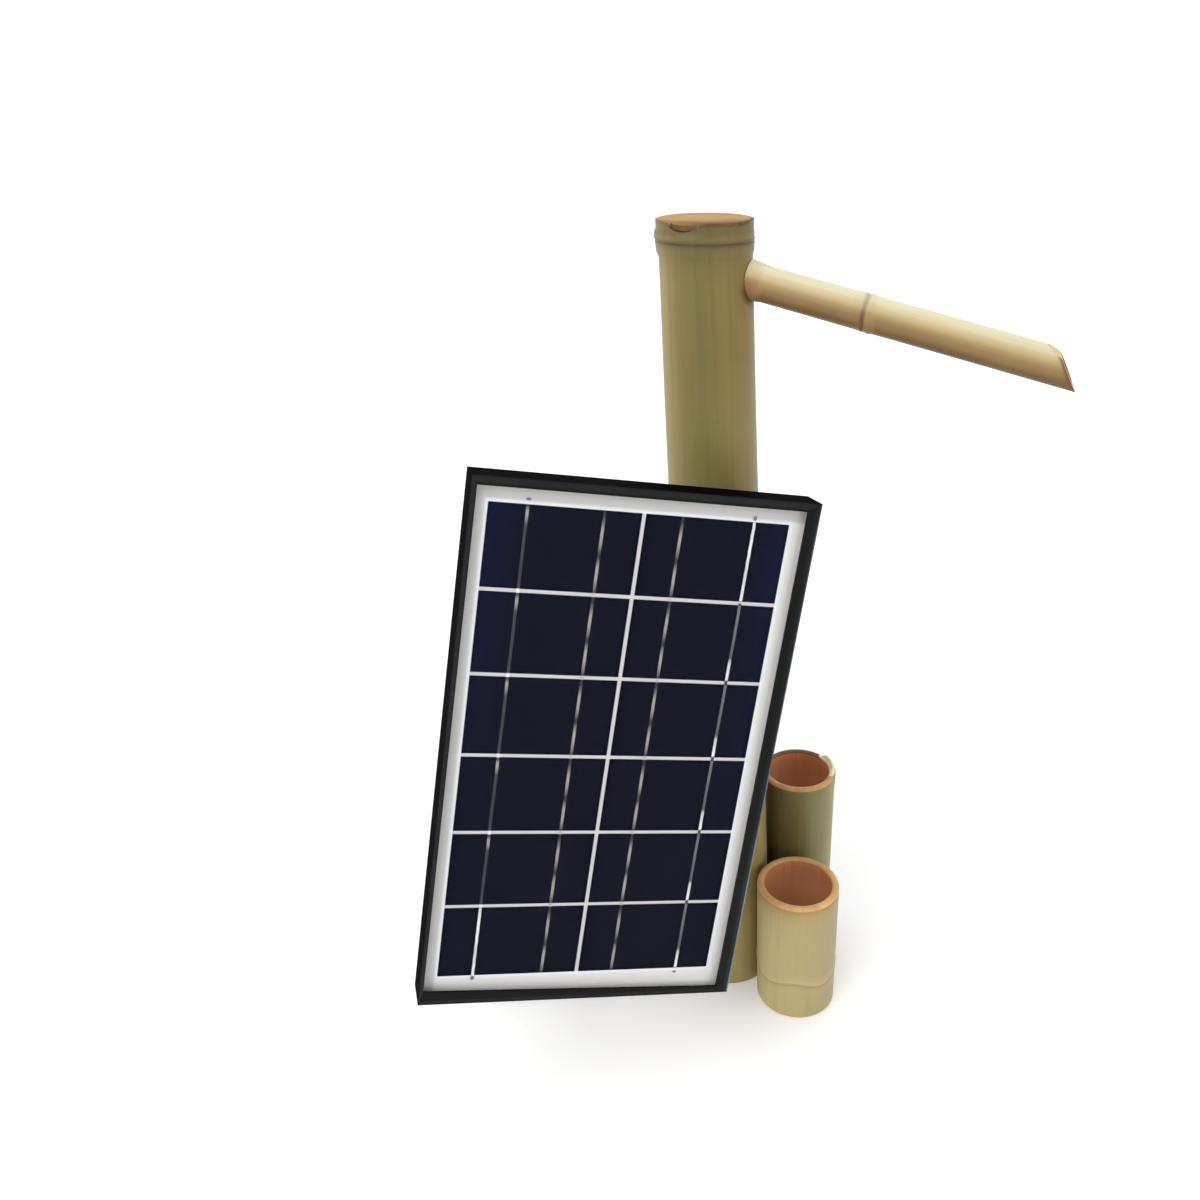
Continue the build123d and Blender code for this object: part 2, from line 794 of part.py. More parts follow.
# ---------------------------------------------------------------- corner brackets
bracket_plane = panel_plane.offset(-frame_depth + frame_wall)
bracket_inset = frame_wall + edge_play
corner_turns = ((1, 1), (-1, 1), (-1, -1), (1, -1))
screw_across = bracket_inset + bracket_width / 2
corner_screw_spots = []
for turn_x, turn_y in corner_turns:
    for along_x, along_y in ((bracket_screw_along, screw_across), (screw_across, bracket_screw_along)):
        corner_screw_spots.append((turn_x * (half_width - along_x), turn_y * (half_length - along_y)))

with BuildPart() as corner_brackets:
    with BuildSketch(bracket_plane):
        for turn_x, turn_y in corner_turns:
            corner_x = turn_x * (half_width - bracket_inset)
            corner_y = turn_y * (half_length - bracket_inset)
            with BuildLine():
                Polyline(
                    (corner_x, corner_y),
                    (corner_x - turn_x * bracket_leg, corner_y),
                    (corner_x - turn_x * bracket_leg, corner_y - turn_y * bracket_width),
                    (corner_x - turn_x * bracket_width, corner_y - turn_y * bracket_width),
                    (corner_x - turn_x * bracket_width, corner_y - turn_y * bracket_leg),
                    (corner_x, corner_y - turn_y * bracket_leg),
                    close=True,
                )
            make_face()
    extrude(amount=bracket_thickness)
    with BuildSketch(bracket_plane):
        with Locations(*corner_screw_spots):
            Circle(small_screw_radius + running_fit)
    extrude(amount=bracket_thickness, mode=Mode.SUBTRACT)

frame_back = panel_plane.offset(-frame_depth)
strap_back = panel_plane.offset(-frame_depth - strap_thickness)
strap_length = panel_width - 2 * frame_wall
strap_screw_x = half_width - strap_screw_inset
strap_screw_spots = [
    (side_x * strap_screw_x, side_y * strap_screw_pitch / 2) for side_x in (-1, 1) for side_y in (-1, 1)
]


def back_screws(plane, spots, length):
    """Screws driven forward from a plane behind the panel."""
    with BuildPart() as group:
        with BuildSketch(plane):
            with Locations(*spots):
                Circle(small_screw_radius)
        extrude(amount=length)
        with BuildSketch(plane):
            with Locations(*spots):
                Circle(small_head_radius)
        extrude(amount=-small_head_height)
    return group


def drill(piece, plane, spots, radius, depth):
    """The piece with holes through it at the spots, drilled along a plane's normal."""
    with BuildPart() as drilled:
        add(piece.part)
        with BuildSketch(plane):
            with Locations(*spots):
                Circle(radius)
        extrude(amount=depth, mode=Mode.SUBTRACT)
    return drilled


corner_screws = back_screws(frame_back, corner_screw_spots, frame_wall + bracket_thickness)
strap_screws = back_screws(strap_back, strap_screw_spots, strap_thickness + frame_wall)
screw_hole = small_screw_radius + running_fit
frame_rail_bottom = drill(frame_rail_bottom, frame_back, corner_screw_spots, screw_hole, frame_wall)
frame_rail_top = drill(frame_rail_top, frame_back, corner_screw_spots, screw_hole, frame_wall)
side_spots = corner_screw_spots + strap_screw_spots
frame_rail_left = drill(frame_rail_left, frame_back, side_spots, screw_hole, frame_wall)
frame_rail_right = drill(frame_rail_right, frame_back, side_spots, screw_hole, frame_wall)

with BuildPart() as back_strap:
    with BuildSketch(frame_back):
        RectangleRounded(strap_length, strap_width, strap_corner)
        with Locations(*strap_screw_spots):
            Circle(screw_hole, mode=Mode.SUBTRACT)
        Circle(bolt_radius + running_fit, mode=Mode.SUBTRACT)
    extrude(amount=-strap_thickness)

with BuildPart() as spin_washer:
    with BuildSketch(strap_back):
        Circle(arm_flange_radius)
        Circle(bolt_radius + running_fit, mode=Mode.SUBTRACT)
    extrude(amount=-washer_thickness)

# ---------------------------------------------------------------- junction box
sheet_rear = panel_plane.offset(-sheet_back)
box_middle = panel_plane.from_local_coords(Vector(0, box_centre_y, -sheet_back))
box_plane = Plane(origin=box_middle, x_dir=panel_plane.x_dir, z_dir=-panel_plane.z_dir)
box_screw_x = box_length / 2 - box_screw_inset
box_screw_y = box_width / 2 - box_screw_inset
box_screw_spots = [(side_x * box_screw_x, side_y * box_screw_y) for side_x in (-1, 1) for side_y in (-1, 1)]
gland_plane = Plane(
    origin=box_plane.from_local_coords(Vector(gland_x, box_width / 2, box_depth / 2)),
    x_dir=box_plane.x_dir,
    z_dir=box_plane.y_dir,
)

with BuildPart() as junction_box:
    with BuildSketch(box_plane):
        RectangleRounded(box_length, box_width, box_corner)
    extrude(amount=box_depth)
    with BuildSketch(box_plane.offset(box_wall)):
        Rectangle(box_length - box_wall * 2, box_width - box_wall * 2)
        with Locations(*box_screw_spots):
            Circle(box_boss_radius, mode=Mode.SUBTRACT)
    extrude(amount=box_depth, mode=Mode.SUBTRACT)
    with BuildSketch(box_plane.offset(box_wall)):
        with Locations(*box_screw_spots):
            Circle(small_screw_radius)
    extrude(amount=box_depth, mode=Mode.SUBTRACT)
    with BuildSketch(gland_plane):
        Circle(gland_thread_radius)
    extrude(amount=-box_wall - over_cut, mode=Mode.SUBTRACT)

with BuildPart() as junction_box_lid:
    with BuildSketch(box_plane.offset(box_depth)):
        RectangleRounded(box_length, box_width, box_corner)
        with Locations(*box_screw_spots):
            Circle(small_screw_radius + running_fit, mode=Mode.SUBTRACT)
    extrude(amount=box_lid)

lid_back = box_plane.offset(box_depth + box_lid)
with BuildPart() as lid_screws:
    with BuildSketch(lid_back):
        with Locations(*box_screw_spots):
            Circle(small_screw_radius - running_fit)
    extrude(amount=-box_lid - box_depth / 2)
    with BuildSketch(lid_back):
        with Locations(*box_screw_spots):
            Circle(small_head_radius)
    extrude(amount=small_head_height)

with BuildPart() as terminal_block:
    with BuildSketch(box_plane.offset(box_wall)):
        Rectangle(block_length, block_width)
    extrude(amount=block_height)
    with BuildSketch(box_plane.offset(box_wall + block_height)):
        with GridLocations(block_pitch, 0, block_pole_count, 1):
            Circle(small_screw_radius)
    extrude(amount=-block_height / 2, mode=Mode.SUBTRACT)

with BuildPart() as cable_gland:
    with BuildSketch(gland_plane.offset(-box_wall)):
        Circle(gland_thread_radius - running_fit)
    extrude(amount=box_wall + gland_reach)
    with BuildSketch(gland_plane):
        RegularPolygon(gland_radius, hexagon)
    extrude(amount=gland_collar_length)
    with BuildSketch(gland_plane.offset(-box_wall)):
        Circle(gland_bore)
    extrude(amount=gland_reach * 2, mode=Mode.SUBTRACT)

with BuildPart() as gland_nut:
    with BuildSketch(gland_plane.offset(gland_collar_length)):
        RegularPolygon(gland_nut_radius, hexagon)
    extrude(amount=gland_nut_length)
    with BuildSketch(gland_plane.offset(gland_collar_length)):
        Circle(gland_thread_radius)
    extrude(amount=gland_reach - gland_collar_length + moving_gap, mode=Mode.SUBTRACT)
    with BuildSketch(gland_plane.offset(gland_collar_length)):
        Circle(gland_bore)
    extrude(amount=gland_nut_length, mode=Mode.SUBTRACT)

# the lead leaves the frame through the bottom rail
frame_rail_bottom = drill(frame_rail_bottom, gland_plane, [(0, 0)], lead_hole_radius, panel_length)

# ================================================================ stand
plate_top = pad_thickness + plate_thickness
sleeve_top_height = head_point.Z - head_drop
sleeve_bottom = sleeve_top_height - sleeve_length
pole_top = sleeve_top_height - sleeve_top - thrust_gap
plate_right = tab_face
plate_width = plate_right - plate_left
plate_middle = Vector(plate_left + plate_width / 2, plate_front + plate_depth / 2, 0)
pole_spot = Vector(pole_x, pole_y, 0)

with BuildPart() as foot_plate:
    with BuildSketch(Plane.XY.offset(pad_thickness)):
        with Locations(plate_middle):
            RectangleRounded(plate_width, plate_depth, plate_corner)
        with Locations((tab_face - tab_width / 2, 0)):
            Rectangle(tab_width, tab_width)
        with Locations(plate_middle):
            with GridLocations(anchor_spacing, anchor_spacing, 2, 2):
                Circle(anchor_radius, mode=Mode.SUBTRACT)
    extrude(amount=plate_thickness)
    with BuildSketch(Plane.XY.offset(pad_thickness)):
        with Locations((tab_face - tab_thickness / 2, 0)):
            Rectangle(tab_thickness, tab_width)
    extrude(amount=tab_height)
    with BuildSketch(Plane(origin=(tab_face, 0, 0), x_dir=(0, 1, 0), z_dir=(-1, 0, 0))):
        with Locations((0, -tab_screw_low), (0, -tab_screw_high)):
            Circle(joining_screw_radius + running_fit)
    extrude(amount=tab_thickness, mode=Mode.SUBTRACT)
    with BuildSketch(Plane.XY.offset(plate_top)):
        with Locations(pole_spot):
            with PolarLocations(socket_screw_ring, socket_screws_count, start_angle=socket_screws_turn):
                Circle(small_screw_radius)
    extrude(amount=-plate_thickness, mode=Mode.SUBTRACT)

with BuildPart() as foot_pads:
    with BuildSketch(Plane.XY):
        with Locations(plate_middle):
            with GridLocations(plate_width - pad_inset * 2, plate_depth - pad_inset * 2, 2, 2):
                Circle(pad_radius)
    extrude(amount=pad_thickness)

with BuildPart() as plate_screws:
    for height in (tab_screw_low, tab_screw_high):
        add(
            screw(
                Plane(origin=(tab_face - tab_thickness, 0, height), z_dir=(1, 0, 0)),
                joining_screw_radius,
                tab_screw_length,
                joining_head_radius,
                joining_head_height,
            )
        )

with BuildPart() as pole_socket:
    with BuildSketch(Plane.XY.offset(plate_top)):
        with Locations(pole_spot):
            Circle(socket_flange_radius)
            with PolarLocations(socket_screw_ring, socket_screws_count, start_angle=socket_screws_turn):
                Circle(small_screw_radius + running_fit, mode=Mode.SUBTRACT)
    extrude(amount=socket_flange_thickness)
    with BuildSketch(Plane.XY.offset(plate_top)):
        with Locations(pole_spot):
            Circle(socket_radius)
    extrude(amount=socket_length)
    with BuildSketch(Plane.XY.offset(plate_top)):
        with Locations(pole_spot):
            Circle(pole_radius)
    extrude(amount=socket_length, mode=Mode.SUBTRACT)

with BuildPart() as socket_screws:
    screw_seat = Plane.XY.offset(plate_top + socket_flange_thickness)
    with BuildSketch(screw_seat):
        with Locations(pole_spot):
            with PolarLocations(socket_screw_ring, socket_screws_count, start_angle=socket_screws_turn):
                Circle(small_screw_radius)
    extrude(amount=-socket_flange_thickness - plate_thickness)
    with BuildSketch(screw_seat):
        with Locations(pole_spot):
            with PolarLocations(socket_screw_ring, socket_screws_count, start_angle=socket_screws_turn):
                Circle(small_head_radius - moving_gap)
    extrude(amount=small_head_height)

with BuildPart() as pole:
    with BuildSketch(Plane.XY.offset(plate_top)):
        with Locations(pole_spot):
            Circle(pole_radius)
            Circle(pole_radius - pole_wall, mode=Mode.SUBTRACT)
    extrude(amount=pole_top - plate_top)

# the swivel head turns on the pole's end; its two ears hold the tilt bolt
pan_screw_height = sleeve_top_height - pan_screw_drop
pan_screw_plane = Plane(
    origin=(pole_x, pole_y, pan_screw_height), z_dir=Vector(tilt_plane.x_dir.X, tilt_plane.x_dir.Y, 0)
)
half_gap = eye_width / 2 + moving_gap
ear_outside = half_gap + ear_thickness

with BuildPart() as pan_head:
    with BuildSketch(tilt_plane):
        Circle(ear_radius)
        with Locations((0, -head_drop / 2)):
            Rectangle(ear_radius * 2, head_drop)
    extrude(amount=ear_outside, both=True)
    with BuildSketch(tilt_plane):
        Circle(ear_radius + moving_gap)
        with Locations((0, -head_drop / 2)):
            Rectangle(ear_radius * 2 + over_cut, head_drop)
    extrude(amount=half_gap, both=True, mode=Mode.SUBTRACT)
    with BuildSketch(Plane.XY.offset(sleeve_top_height)):
        with Locations(pole_spot):
            Circle(sleeve_radius)
    extrude(amount=-sleeve_length)
    with BuildSketch(tilt_plane):
        Circle(eye_radius + moving_gap * 2)
    extrude(amount=half_gap, both=True, mode=Mode.SUBTRACT)
    with BuildSketch(Plane.XY.offset(sleeve_bottom)):
        with Locations(pole_spot):
            Circle(pole_radius + running_fit)
    extrude(amount=sleeve_length - sleeve_top, mode=Mode.SUBTRACT)
    with BuildSketch(pan_screw_plane):
        Circle(pan_screw_radius + running_fit)
    extrude(amount=sleeve_radius, mode=Mode.SUBTRACT)
    with BuildSketch(tilt_plane):
        Circle(bolt_radius)
    extrude(amount=ear_outside, both=True, mode=Mode.SUBTRACT)


def lobed_knob(plane, radius, length):
    """Hand knob with finger lobes round its edge."""
    with BuildPart() as knob:
        with BuildSketch(plane):
            Circle(radius - knob_lobe_sink)
            with PolarLocations(radius - knob_lobe_radius, knob_lobes):
                Circle(knob_lobe_radius)
        extrude(amount=length)
    return knob.part


with BuildPart() as pan_knob:
    add(lobed_knob(pan_screw_plane.offset(sleeve_radius + moving_gap), pan_knob_radius, pan_knob_length))
    with BuildSketch(pan_screw_plane.offset(pole_radius + moving_gap)):
        Circle(pan_screw_radius)
    extrude(amount=sleeve_radius - pole_radius + pan_knob_length / 2)

with BuildPart() as tilt_arm:
    with BuildSketch(tilt_plane):
        Circle(eye_radius)
    extrude(amount=eye_width / 2, both=True)
    arm_length = head_reach - frame_depth - strap_thickness - washer_thickness - thrust_gap
    with BuildSketch(arm_plane):
        Circle(arm_radius)
    extrude(amount=arm_length)
    with BuildSketch(arm_plane.offset(arm_length - arm_flange_thickness)):
        Circle(arm_flange_radius)
    extrude(amount=arm_flange_thickness)
    with BuildSketch(arm_plane.offset(arm_length)):
        Circle(bolt_radius)
    extrude(amount=-spin_thread_depth, mode=Mode.SUBTRACT)
    with BuildSketch(tilt_plane):
        Circle(bolt_radius + running_fit)
    extrude(amount=eye_width / 2, both=True, mode=Mode.SUBTRACT)

washer_outside = ear_outside + washer_thickness
with BuildPart() as tilt_bolt:
    with BuildSketch(tilt_plane.offset(-washer_outside)):
        Circle(bolt_radius)
    extrude(amount=washer_outside * 2 + moving_gap + tilt_knob_bore_depth)
    with BuildSketch(tilt_plane.offset(-washer_outside)):
        RegularPolygon(bolt_head_radius, hexagon)
    extrude(amount=-bolt_head_height)

with BuildPart() as tilt_washers:
    for side in (-1, 1):
        with BuildSketch(tilt_plane.offset(side * ear_outside)):
            Circle(washer_radius)
            Circle(bolt_radius + running_fit, mode=Mode.SUBTRACT)
        extrude(amount=side * washer_thickness)

with BuildPart() as tilt_knob:
    add(lobed_knob(tilt_plane.offset(washer_outside + moving_gap), tilt_knob_radius, tilt_knob_length))
    with BuildSketch(tilt_plane.offset(washer_outside)):
        Circle(bolt_radius + running_fit)
    extrude(amount=moving_gap * 2 + tilt_knob_bore_depth, mode=Mode.SUBTRACT)

with BuildPart() as spin_bolt:
    bolt_seat = arm_plane.offset(arm_length + washer_thickness + strap_thickness + thrust_gap * 2)
    with BuildSketch(bolt_seat):
        RegularPolygon(bolt_head_radius, hexagon)
    extrude(amount=bolt_head_height)
    with BuildSketch(bolt_seat):
        Circle(bolt_radius)
    extrude(amount=-washer_thickness - strap_thickness - spin_bolt_grip)

# ================================================================ hand over
pieces = {
    "main_post": main_post,
    "spout": spout,
    "rear_cup": rear_cup,
    "front_cup": front_cup,
    "joining_screws": joining_screws,
    "pump_feet": pump_feet,
    "pump_volute": pump_volute,
    "pump_strainer": pump_strainer,
    "pump_housing": pump_housing,
    "pump_stator": pump_stator,
    "pump_shaft": pump_shaft,
    "pump_cap": pump_cap,
    "pump_gland": pump_gland,
    "impeller": impeller,
    "impeller_magnet": impeller_magnet,
    "riser_hose": riser_hose,
    "hose_elbow": hose_elbow,
    "frame_rail_bottom": frame_rail_bottom,
    "frame_rail_right": frame_rail_right,
    "frame_rail_top": frame_rail_top,
    "frame_rail_left": frame_rail_left,
    "glass_cover": glass_cover,
    "solar_cells": solar_cells,
    "cell_ribbons": cell_ribbons,
    "backsheet": backsheet,
    "corner_brackets": corner_brackets,
    "corner_screws": corner_screws,
    "back_strap": back_strap,
    "strap_screws": strap_screws,
    "spin_washer": spin_washer,
    "spin_bolt": spin_bolt,
    "junction_box": junction_box,
    "junction_box_lid": junction_box_lid,
    "lid_screws": lid_screws,
    "terminal_block": terminal_block,
    "cable_gland": cable_gland,
    "gland_nut": gland_nut,
    "foot_plate": foot_plate,
    "foot_pads": foot_pads,
    "plate_screws": plate_screws,
    "pole_socket": pole_socket,
    "socket_screws": socket_screws,
    "pole": pole,
    "pan_head": pan_head,
    "pan_knob": pan_knob,
    "tilt_arm": tilt_arm,
    "tilt_bolt": tilt_bolt,
    "tilt_washers": tilt_washers,
    "tilt_knob": tilt_knob,
}
for node_name, piece in pieces.items():
    save(piece, node_name)
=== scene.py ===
import json
from functools import partial
from math import atan2, cos, exp, pi, radians, sin, tan, tau

import bmesh
import bpy
from mathutils import Matrix, Vector

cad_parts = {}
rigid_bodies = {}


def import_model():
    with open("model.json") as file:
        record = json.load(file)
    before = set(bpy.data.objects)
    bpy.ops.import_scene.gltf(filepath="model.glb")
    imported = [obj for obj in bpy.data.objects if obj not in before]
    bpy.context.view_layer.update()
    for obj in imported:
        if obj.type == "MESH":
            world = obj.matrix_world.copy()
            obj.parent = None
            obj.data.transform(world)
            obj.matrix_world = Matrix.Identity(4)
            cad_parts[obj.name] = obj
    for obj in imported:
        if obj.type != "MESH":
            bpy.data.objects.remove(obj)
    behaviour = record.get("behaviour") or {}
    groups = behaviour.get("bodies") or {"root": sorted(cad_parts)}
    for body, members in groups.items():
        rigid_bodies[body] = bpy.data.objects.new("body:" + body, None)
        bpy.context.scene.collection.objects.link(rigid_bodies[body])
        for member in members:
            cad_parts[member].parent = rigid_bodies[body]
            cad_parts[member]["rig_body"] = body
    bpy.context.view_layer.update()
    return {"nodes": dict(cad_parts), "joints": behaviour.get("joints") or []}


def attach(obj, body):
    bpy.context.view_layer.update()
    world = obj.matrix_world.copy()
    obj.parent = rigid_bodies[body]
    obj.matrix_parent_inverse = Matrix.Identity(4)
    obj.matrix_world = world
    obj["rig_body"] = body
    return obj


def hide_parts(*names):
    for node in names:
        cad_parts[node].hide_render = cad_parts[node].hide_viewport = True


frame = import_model()
nodes = frame["nodes"]
joints = {joint["name"]: joint for joint in frame["joints"]}
scene = bpy.context.scene
mm = 0.001
print("frame loaded")

# how put fills a kind of node, where that isn't its first sockets and its first output
nodeHabits = {
    "Mix": {"order": (0, 6, 7), "out": 2, "mode": "blend_type", "fixed": {"data_type": "RGBA"}},
    "MapRange": {"order": range(5)},
    "TexNoise": {"order": ("Vector", "Scale", "Detail", "Roughness")},
    "TexVoronoi": {"order": ("Vector", "Scale")},
    "TexGradient": {"mode": "gradient_type", "out": "Fac"},
    "TexCoord": {"out": "Object"},
    "Mapping": {"order": ("Vector", "Scale", "Location", "Rotation"), "mode": "vector_type"},
    "Bump": {"order": ("Height", "Strength", "Distance")},
    "BsdfGlossy": {"order": ("Roughness", "Normal")},
}


def tint(colour):
    # sRGB hex to linear RGBA; a plain number is a grey that is linear already
    if not isinstance(colour, str):
        return (colour, colour, colour, 1.0)
    channels = [int(colour[i:i + 2], 16) / 255 for i in (1, 3, 5)]
    linear = [c / 12.92 if c <= 0.04045 else ((c + 0.055) / 1.055) ** 2.4 for c in channels]
    return (*linear, 1.0)


def fill(tree, node, values):
    # sets sockets, or links those whose value is another node's socket; None leaves one as it is
    for name, value in values.items():
        if isinstance(value, bpy.types.NodeSocket):
            tree.links.new(value, node.inputs[name])
        elif value is not None:
            node.inputs[name].default_value = value


def put(tree, kind, *values, stops=(), out=None, **settings):
    # adds a node, such as "TexNoise" or "Math ADD", and returns one output, or them all for out="all"
    # values fill its usual sockets in order; stops of a colour ramp are (place, colour, share)
    kind, _, mode = kind.partition(" ")
    habit = nodeHabits.get(kind, {})
    node = tree.nodes.new("ShaderNode" + kind)
    settings |= habit.get("fixed", {})
    if mode:
        settings[habit.get("mode", "operation")] = mode
    for name, value in settings.items():
        setattr(node, name, value)
    fill(tree, node, dict(zip(habit.get("order", range(4)), values)))
    if stops:
        ramp = node.color_ramp
        while len(ramp.elements) < len(stops):
            ramp.elements.new(1.0)
        for element, (place, colour, *share) in zip(ramp.elements, stops):
            element.position = place
            element.color = (*tint(colour)[:3], *(share or [1.0]))
    return node.outputs if out == "all" else node.outputs[out or habit.get("out", 0)]


def dress(material, **sockets):
    # fills sockets of the shader itself
    shader = material.node_tree.nodes["Principled BSDF"]
    fill(material.node_tree, shader, {name.replace("_", " "): value for name, value in sockets.items()})
    return material


def newMaterial(name, **sockets):
    # a material, and put bound to its nodes
    material = bpy.data.materials.new(name)
    material.use_nodes = True
    return dress(material, **sockets), partial(put, material.node_tree)


def sized(*sizes):
    # scale of a pattern whose features have these sizes in mm
    return tuple(1 / (size * mm) for size in sizes)


def placedSpot(add, matrix):
    # Object coordinates turned into a piece's own frame
    return add("Mapping TEXTURE", add("TexCoord"), None, matrix.to_translation(), matrix.to_euler())


def placing(origin, zDir, xHint):
    # matrix of a piece whose own Z runs along zDir, with X as near xHint as it can be
    z = Vector(zDir).normalized()
    x = (Vector(xHint) - Vector(xHint).dot(z) * z).normalized()
    turn = Matrix((x, z.cross(x), z)).transposed().to_4x4()
    return Matrix.Translation(origin) @ turn


def heading(angle):
    return Vector((cos(radians(angle)), sin(radians(angle)), 0))


def turnFrom(spot, angle):
    # how far round the middle line a spot lies from a heading
    return (atan2(spot.y, spot.x) - radians(angle) + pi) % tau - pi


def measured(spot):
    # distance from the middle line and height along it, in mm
    return spot.xy.length / mm, spot.z / mm


def ease(low, high, value):
    # 0 below low, 1 above high, smooth between
    share = min(1.0, max(0.0, (value - low) / (high - low)))
    return share * share * (3 - 2 * share)


def addObject(name, data):
    # data is a light, a camera or a bmesh
    if isinstance(data, bmesh.types.BMesh):
        bm, data = data, bpy.data.meshes.new(name)
        bm.to_mesh(data)
        bm.free()
    item = bpy.data.objects.new(name, data)
    scene.collection.objects.link(item)
    return item


def makePiece(name, bm, materials, body, replaced, sharp):
    piece = addObject(name, bm)
    for material in materials:
        piece.data.materials.append(material)
    piece.data.polygons.foreach_set("use_smooth", [True] * len(piece.data.polygons))
    piece.data.set_sharp_from_angle(angle=radians(sharp))
    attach(piece, body)
    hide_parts(replaced)
    return piece


def roundEdges(bm, edges, width, segments, clamp=True):
    bmesh.ops.bevel(bm, geom=edges, offset=width * mm, segments=segments, profile=0.5, affect="EDGES",
                    material=-1, clamp_overlap=clamp)


def sawOff(bm, place, direction, **side):
    bmesh.ops.bisect_plane(bm, geom=bm.verts[:] + bm.edges[:] + bm.faces[:], plane_co=place,
                           plane_no=direction, dist=0.001 * mm, **side)


def openEdges(bm):
    return [edge for edge in bm.edges if edge.is_boundary]


def mergedCopy(node):
    # a copy of a CAD node with its loose triangles merged and its flat faces joined
    bm = bmesh.new()
    bm.from_mesh(nodes[node].data)
    bmesh.ops.remove_doubles(bm, verts=bm.verts, dist=0.001 * mm)
    bmesh.ops.dissolve_limit(bm, angle_limit=radians(0.5), verts=bm.verts, edges=bm.edges)
    return bm


def softened(name, node, width, material):
    # a CAD node with its hard edges eased
    bm = mergedCopy(node)
    hard = [edge for edge in bm.edges if len(edge.link_faces) == 2 and edge.calc_face_angle(0) > radians(30)]
    roundEdges(bm, hard, width, 2)
    piece = makePiece(name, bm, [material], nodes[node]["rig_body"], node, sharp=60)
    piece.modifiers.new("even_normals", "WEIGHTED_NORMAL").keep_sharp = True
    return piece


def spunProfile(profile, steps):
    # a profile of (radius, height) in mm spun round Z, poles merged
    bm = bmesh.new()
    ends = [bm.verts.new((radius * mm, 0, height * mm)) for radius, height in profile]
    edges = [bm.edges.new(pair) for pair in zip(ends, ends[1:])]
    bmesh.ops.spin(bm, geom=ends + edges, cent=(0, 0, 0), axis=(0, 0, 1), dvec=(0, 0, 0),
                   angle=tau, steps=steps, use_merge=True, use_duplicate=False)
    bmesh.ops.remove_doubles(bm, verts=bm.verts, dist=0.002 * mm)
    bmesh.ops.recalc_face_normals(bm, faces=bm.faces)
    return bm


def turnedCylinder(matrix, radius, start, end, segments):
    bm = bmesh.new()
    bmesh.ops.create_cone(bm, cap_ends=True, cap_tris=False, segments=segments,
                          radius1=radius * mm, radius2=radius * mm, depth=(end - start) * mm)
    bmesh.ops.translate(bm, verts=bm.verts, vec=(0, 0, (start + end) / 2 * mm))
    bmesh.ops.transform(bm, matrix=matrix, verts=bm.verts)
    return bm


def carve(bm, cutters):
    # cuts closed shapes out of a closed shape
    base, *tools = [addObject("carving", shape) for shape in [bm, *cutters]]
    for tool in tools:
        cut = base.modifiers.new("cut", "BOOLEAN")
        cut.operation, cut.solver, cut.object = "DIFFERENCE", "EXACT", tool
    bpy.context.view_layer.update()
    carved = bpy.data.meshes.new_from_object(base.evaluated_get(bpy.context.evaluated_depsgraph_get()))
    result = bmesh.new()
    result.from_mesh(carved)
    for item in [base, *tools]:
        mesh = item.data
        bpy.data.objects.remove(item)
        bpy.data.meshes.remove(mesh)
    bpy.data.meshes.remove(carved)
    return result


view = {
    "place": (-68.47, -527.1, 523.89),  # mm
    "down": 26.65,  # degrees below level
    "roll": -3.6,
    "lens": 33.0,  # on a 36 mm sensor
}


def addCamera():
    down, roll = radians(view["down"]), radians(view["roll"])
    back, up = Vector((0, -cos(down), sin(down))), Vector((0, sin(down), cos(down)))
    right = cos(roll) * Vector((1, 0, 0)) + sin(roll) * up
    lensData = bpy.data.cameras.new("camera")
    lensData.lens, lensData.sensor_width = view["lens"], 36.0
    lensData.clip_start, lensData.clip_end = 0.01, 50
    scene.camera = addObject("camera", lensData)
    scene.camera.matrix_world = placing(Vector(view["place"]) * mm, back, right)


# large soft boxes: the main one high on the left, weaker ones on the right, overhead and behind
softBoxes = {
    "key": {"place": (-0.9, -1.0, 1.5), "size": 1.3, "power": 17, "colour": "#FFFDF9"},
    "fill": {"place": (1.3, -0.9, 0.9), "size": 1.2, "power": 4, "colour": "#F6F9FF"},
    "top": {"place": (0.1, 0.3, 1.9), "size": 1.6, "power": 9, "colour": "#FFFFFF"},
    "back": {"place": (0.4, 1.6, 1.1), "size": 1.4, "power": 5, "colour": "#FFFFFF"},
}
lightAim = Vector((0, 0, 0.2))


def addLights():
    for name, box in softBoxes.items():
        lamp = bpy.data.lights.new(name, "AREA")
        lamp.shape, lamp.size, lamp.energy = "SQUARE", box["size"], box["power"]
        lamp.color = tint(box["colour"])[:3]
        item = addObject(name, lamp)
        item.location = box["place"]
        item.rotation_euler = (lightAim - item.location).to_track_quat("-Z", "Y").to_euler()
    world = bpy.data.worlds.new("studio")
    world.use_nodes = True
    tree = world.node_tree
    # the room is brightest in a narrow band at the horizon
    height = put(tree, "SeparateXYZ", put(tree, "TexCoord", out="Generated"), out="Z")
    strength = put(tree, "MapRange", height, 0.08, 0.4, 1.2, 0.45)
    fill(tree, tree.nodes["Background"], {"Color": tint("#FFFFFF"), "Strength": strength})
    scene.world = world
    scene.view_settings.view_transform = "Standard"


